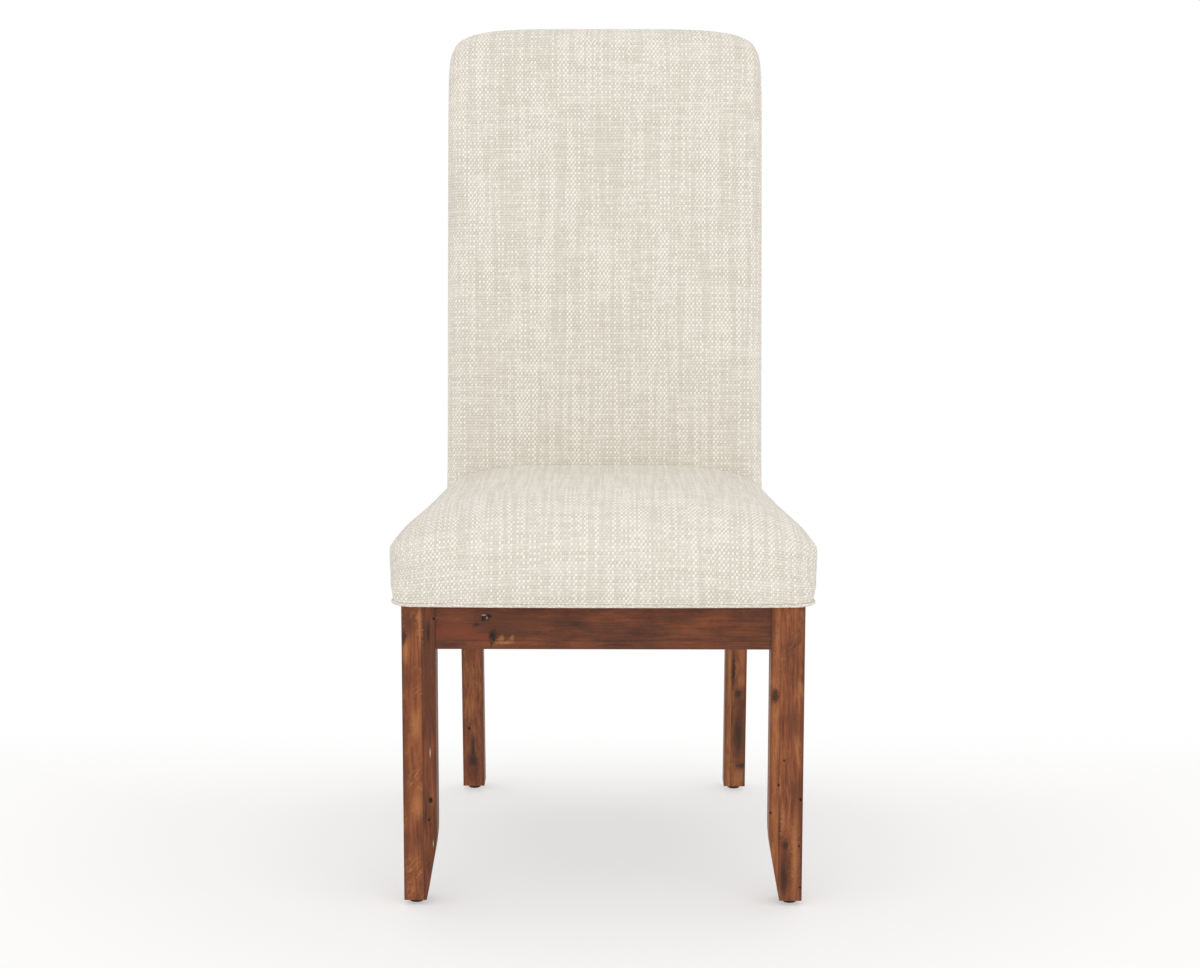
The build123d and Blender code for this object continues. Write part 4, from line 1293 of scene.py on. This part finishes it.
post_low, post_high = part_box("rear_leg_right")
post_front, post_rear = 0.1672, 0.2043     # the posts pass the level of the hem between these
rear_corner = 0.0115     # radius of the cloth's rear corners
seat_tuck = 0.0058       # the cloth under the back runs on this far, to the seat's own hem


def hem_y(x, depth):
    """Y of the back at the level of its hem, for a depth behind the front."""
    return back_place(x, hem_rise(depth), depth)[..., 1]


def underside_patches():
    """Cloth turned under the back and stapled: flat strips at the hem's level that leave room for the posts.

    The outline is a rectangle with a bowed front and rear, whose rear corners are quarter circles.
    """
    full = back_half - cover_thickness
    inner, outer = post_low.x - layer_gap, post_high.x + layer_gap
    margin = np.linspace(outer, full, 5)
    middle = np.linspace(-inner, inner, 33)
    columns = np.concatenate([-margin[::-1], middle, margin])[None, :]
    along = np.linspace(0.0, 1.0, 7)[:, None]
    front = hem_y(columns, -front_bow(columns)) - seat_tuck
    rear = hem_y(columns, back_thickness + rear_bow(columns)) - 2 * cover_thickness
    before = front + (post_front - front) * along
    between = np.broadcast_to(post_front + (post_rear - post_front) * along, before.shape)
    behind = post_rear + (rear - post_rear) * along

    def strip(y, used=slice(None)):
        """One strip of cloth, whose columns outside the posts draw in round the rear corners."""
        past = np.clip((y - rear.min() + rear_corner) / rear_corner, 0.0, 1.0)
        half = full - rear_corner * (1 - np.sqrt(1 - past ** 2))
        beyond = np.clip(np.abs(columns) - outer, 0.0, None) * (half - outer) / (full - outer)
        x = np.sign(columns) * (np.minimum(np.abs(columns), outer) + beyond)
        grid = np.dstack([x, y, np.full(y.shape, hem_height + layer_gap)])[:, used]
        return grid, grid[..., :2]

    beside = len(margin)
    return [strip(before), strip(between, slice(None, beside)), strip(between, slice(beside, -beside)),
            strip(between, slice(-beside, None)), strip(behind)]


back_cloth = [*back_patches(0.0), *underside_patches()]
back_cover = piece_from_patches("back_upholstery", back_cloth)
back_cover.data.materials.append(cream_cloth)
spots = place_of(back_cover.data)
behind, above = spots[:, 1] - back_y, spots[:, 2] - shoulder_height
depth = behind * math.cos(back_lean) - above * math.sin(back_lean)
sewn = depth > back_thickness - held_reach
stapled = spots[:, 2] < hem_height + held_reach
pressed_out(back_cover, sewn | stapled, pressure=4.0, most=0.002)
cloth_layers(back_cover)
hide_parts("back_cover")


# Outside back panel
# A separate piece of the same cloth that closes the rear of the back.
# Its rim is rolled in and slip-stitched to the cover's margin.

panel_gap = 0.0009       # between the panel's rim and the cover's margin
panel_roll = 0.0035      # radius of its rolled rim
panel_rings = 5
panel_proud = 0.0012     # the panel stands this far behind the margin


def panel_depth(x):
    """Depth of the panel's flat behind the back's front."""
    return back_thickness + panel_proud + rear_bow(x)


def panel_patches():
    """Sheet over the rear face whose rim rolls in to the seam by a quarter circle."""
    lines = {}
    for side in ("top", "left", "right"):
        line = drawn_in(back_outline(side)[0], margin_side + panel_gap, margin_top + panel_gap)
        if side != "top":
            lift = hem_rise(back_thickness) - hem_rise(0.0)
            line[:, 1] -= lift * smooth((line[:, 1] - back_top + hem_run) / hem_run)
        lines[side] = line
    lines["bottom"] = np.linspace(lines["left"][-1], lines["right"][-1], back_columns + 1)
    angle = np.linspace(0.0, math.pi / 2, panel_rings)[:, None]
    middle = np.array([0.0, back_top / 2])

    def rim(line):
        """Quarter circle from the seam to the flat of the sheet, along one side."""
        inner = line + (middle - line) * [panel_roll / back_half, 2 * panel_roll / back_top]
        x, drop = np.moveaxis(line + (inner - line) * (1 - np.sin(angle))[..., None], -1, 0)
        depth = panel_depth(x) - panel_roll * (1 - np.cos(angle))
        return back_place(x, back_top - drop, depth), np.stack([x, back_top - drop], axis=-1)

    rims = {side: rim(line) for side, line in lines.items()}
    face = patch_between(*(rims[side][1][0] for side in ("top", "bottom", "left", "right")))
    points = back_place(face[..., 0], face[..., 1], panel_depth(face[..., 0]))
    return [(points, face), *rims.values()]


outside_panel = piece_from_patches("outside_back_cloth", panel_patches())
outside_panel.data.materials.append(cream_cloth)
panel_smooth = outside_panel.modifiers.new("smooth", "SUBSURF")
panel_smooth.levels = panel_smooth.render_levels = 1
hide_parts("outside_back_panel")


# Studio
# A pale floor that fades to white, an even white surround and one large soft lamp above the front.

# Close to the chair the floor's share of white is painted light: a glow for the eye that lightens the
# chair's shadow.
floor_whitening = 0.40   # share of plain white in the floor close to the chair
floor_near, floor_far = 0.55, 1.25      # the floor whitens between these distances from the chair's middle
rear_near, rear_far = 0.05, 0.60        # and between these places behind it
floor_reach = 30.0
surround_light = 0.92    # strength of the surround for all but the eye


def seen_directly(tree):
    """1 for what the eye sees, straight or by way of a shiny or clear surface."""
    paths = tree.nodes.new("ShaderNodeLightPath")
    seen = paths.outputs["Is Camera Ray"]
    for kind in ("Is Glossy Ray", "Is Transmission Ray"):
        larger = tree.nodes.new("ShaderNodeMath")
        larger.operation = "MAXIMUM"
        tree.links.new(seen, larger.inputs[0])
        tree.links.new(paths.outputs[kind], larger.inputs[1])
        seen = larger.outputs[0]
    return seen


def floor_finish():
    """Matt pale floor that keeps the shadow, and whitens for the eye with distance and behind the chair.
    Close to the chair the white is painted light that lightens the chair's shadow.
    """
    finish = Finish("floor_white")
    x, y, _ = finish.split(finish.place())
    reach = finish.math("SQRT", finish.add(finish.times(x, x), finish.times(y, y)))
    far = finish.larger(finish.step(reach, floor_near, floor_far), finish.step(y, rear_near, rear_far))
    whitened = finish.scaled(far, 1.0 - floor_whitening, floor_whitening)
    # The floor's slight warm tint is painted light: it stands for reddish light bounced from the wood into
    # the shadow under the chair.
    finish.finish(rgb(0.955, 0.938, 0.924), 0.9, Specular_IOR_Level=0.0)
    white = finish.node("ShaderNodeEmission", {"Color": rgb(1.0, 1.0, 1.0), "Strength": 1.0})
    share = finish.times(whitened, seen_directly(finish.tree))
    shown = finish.node("ShaderNodeMixShader", {0: share, 1: finish.surface.outputs[0], 2: white})
    finish.feed(finish.tree.nodes["Material Output"].inputs["Surface"], shown)
    return finish.material


def studio_floor():
    mesh = bpy.data.meshes.new("floor")
    corners = [(-1, -1), (1, -1), (1, 1), (-1, 1)]
    mesh.from_pydata([(x * floor_reach, y * floor_reach, 0.0) for x, y in corners], [], [(0, 1, 2, 3)])
    floor = bpy.data.objects.new("floor", mesh)
    bpy.context.scene.collection.objects.link(floor)
    mesh.materials.append(floor_finish())


def studio_surround():
    """White for the eye, and a plain even light for everything else."""
    world = bpy.data.worlds.new("surround")
    world.use_nodes = True
    bpy.context.scene.world = world
    tree = world.node_tree
    backdrop = tree.nodes["Background"]
    strength = tree.nodes.new("ShaderNodeMapRange")
    strength.inputs["To Min"].default_value = surround_light
    strength.inputs["To Max"].default_value = 1.0
    tree.links.new(seen_directly(tree), strength.inputs["Value"])
    tree.links.new(strength.outputs[0], backdrop.inputs["Strength"])
    backdrop.inputs["Color"].default_value = rgb(1.0, 1.0, 1.0)


def studio_lamp():
    lamp = bpy.data.lights.new("soft_lamp", "AREA")
    lamp.shape = "RECTANGLE"
    lamp.size = 5.0
    lamp.size_y = 1.6
    lamp.energy = 17.0
    holder = bpy.data.objects.new("soft_lamp", lamp)
    bpy.context.scene.collection.objects.link(holder)
    holder.location = (0.7, -2.6, 2.1)
    holder.rotation_euler = (math.radians(54.0), 0.0, 0.0)


def studio_camera():
    """Camera at the photograph's place, found from the chair's own straight lines."""
    lens = bpy.data.cameras.new("camera")
    lens.sensor_fit = "HORIZONTAL"
    lens.sensor_width = 36.0
    lens.lens = 77.87
    holder = bpy.data.objects.new("camera", lens)
    bpy.context.scene.collection.objects.link(holder)
    holder.location = (0.0088, -3.3621, 1.0104)
    holder.rotation_euler = (math.radians(90.0 - 9.034), math.radians(-0.057), math.radians(0.250))
    bpy.context.scene.camera = holder


studio_floor()
studio_surround()
studio_lamp()
studio_camera()
bpy.context.scene.view_settings.view_transform = "Standard"
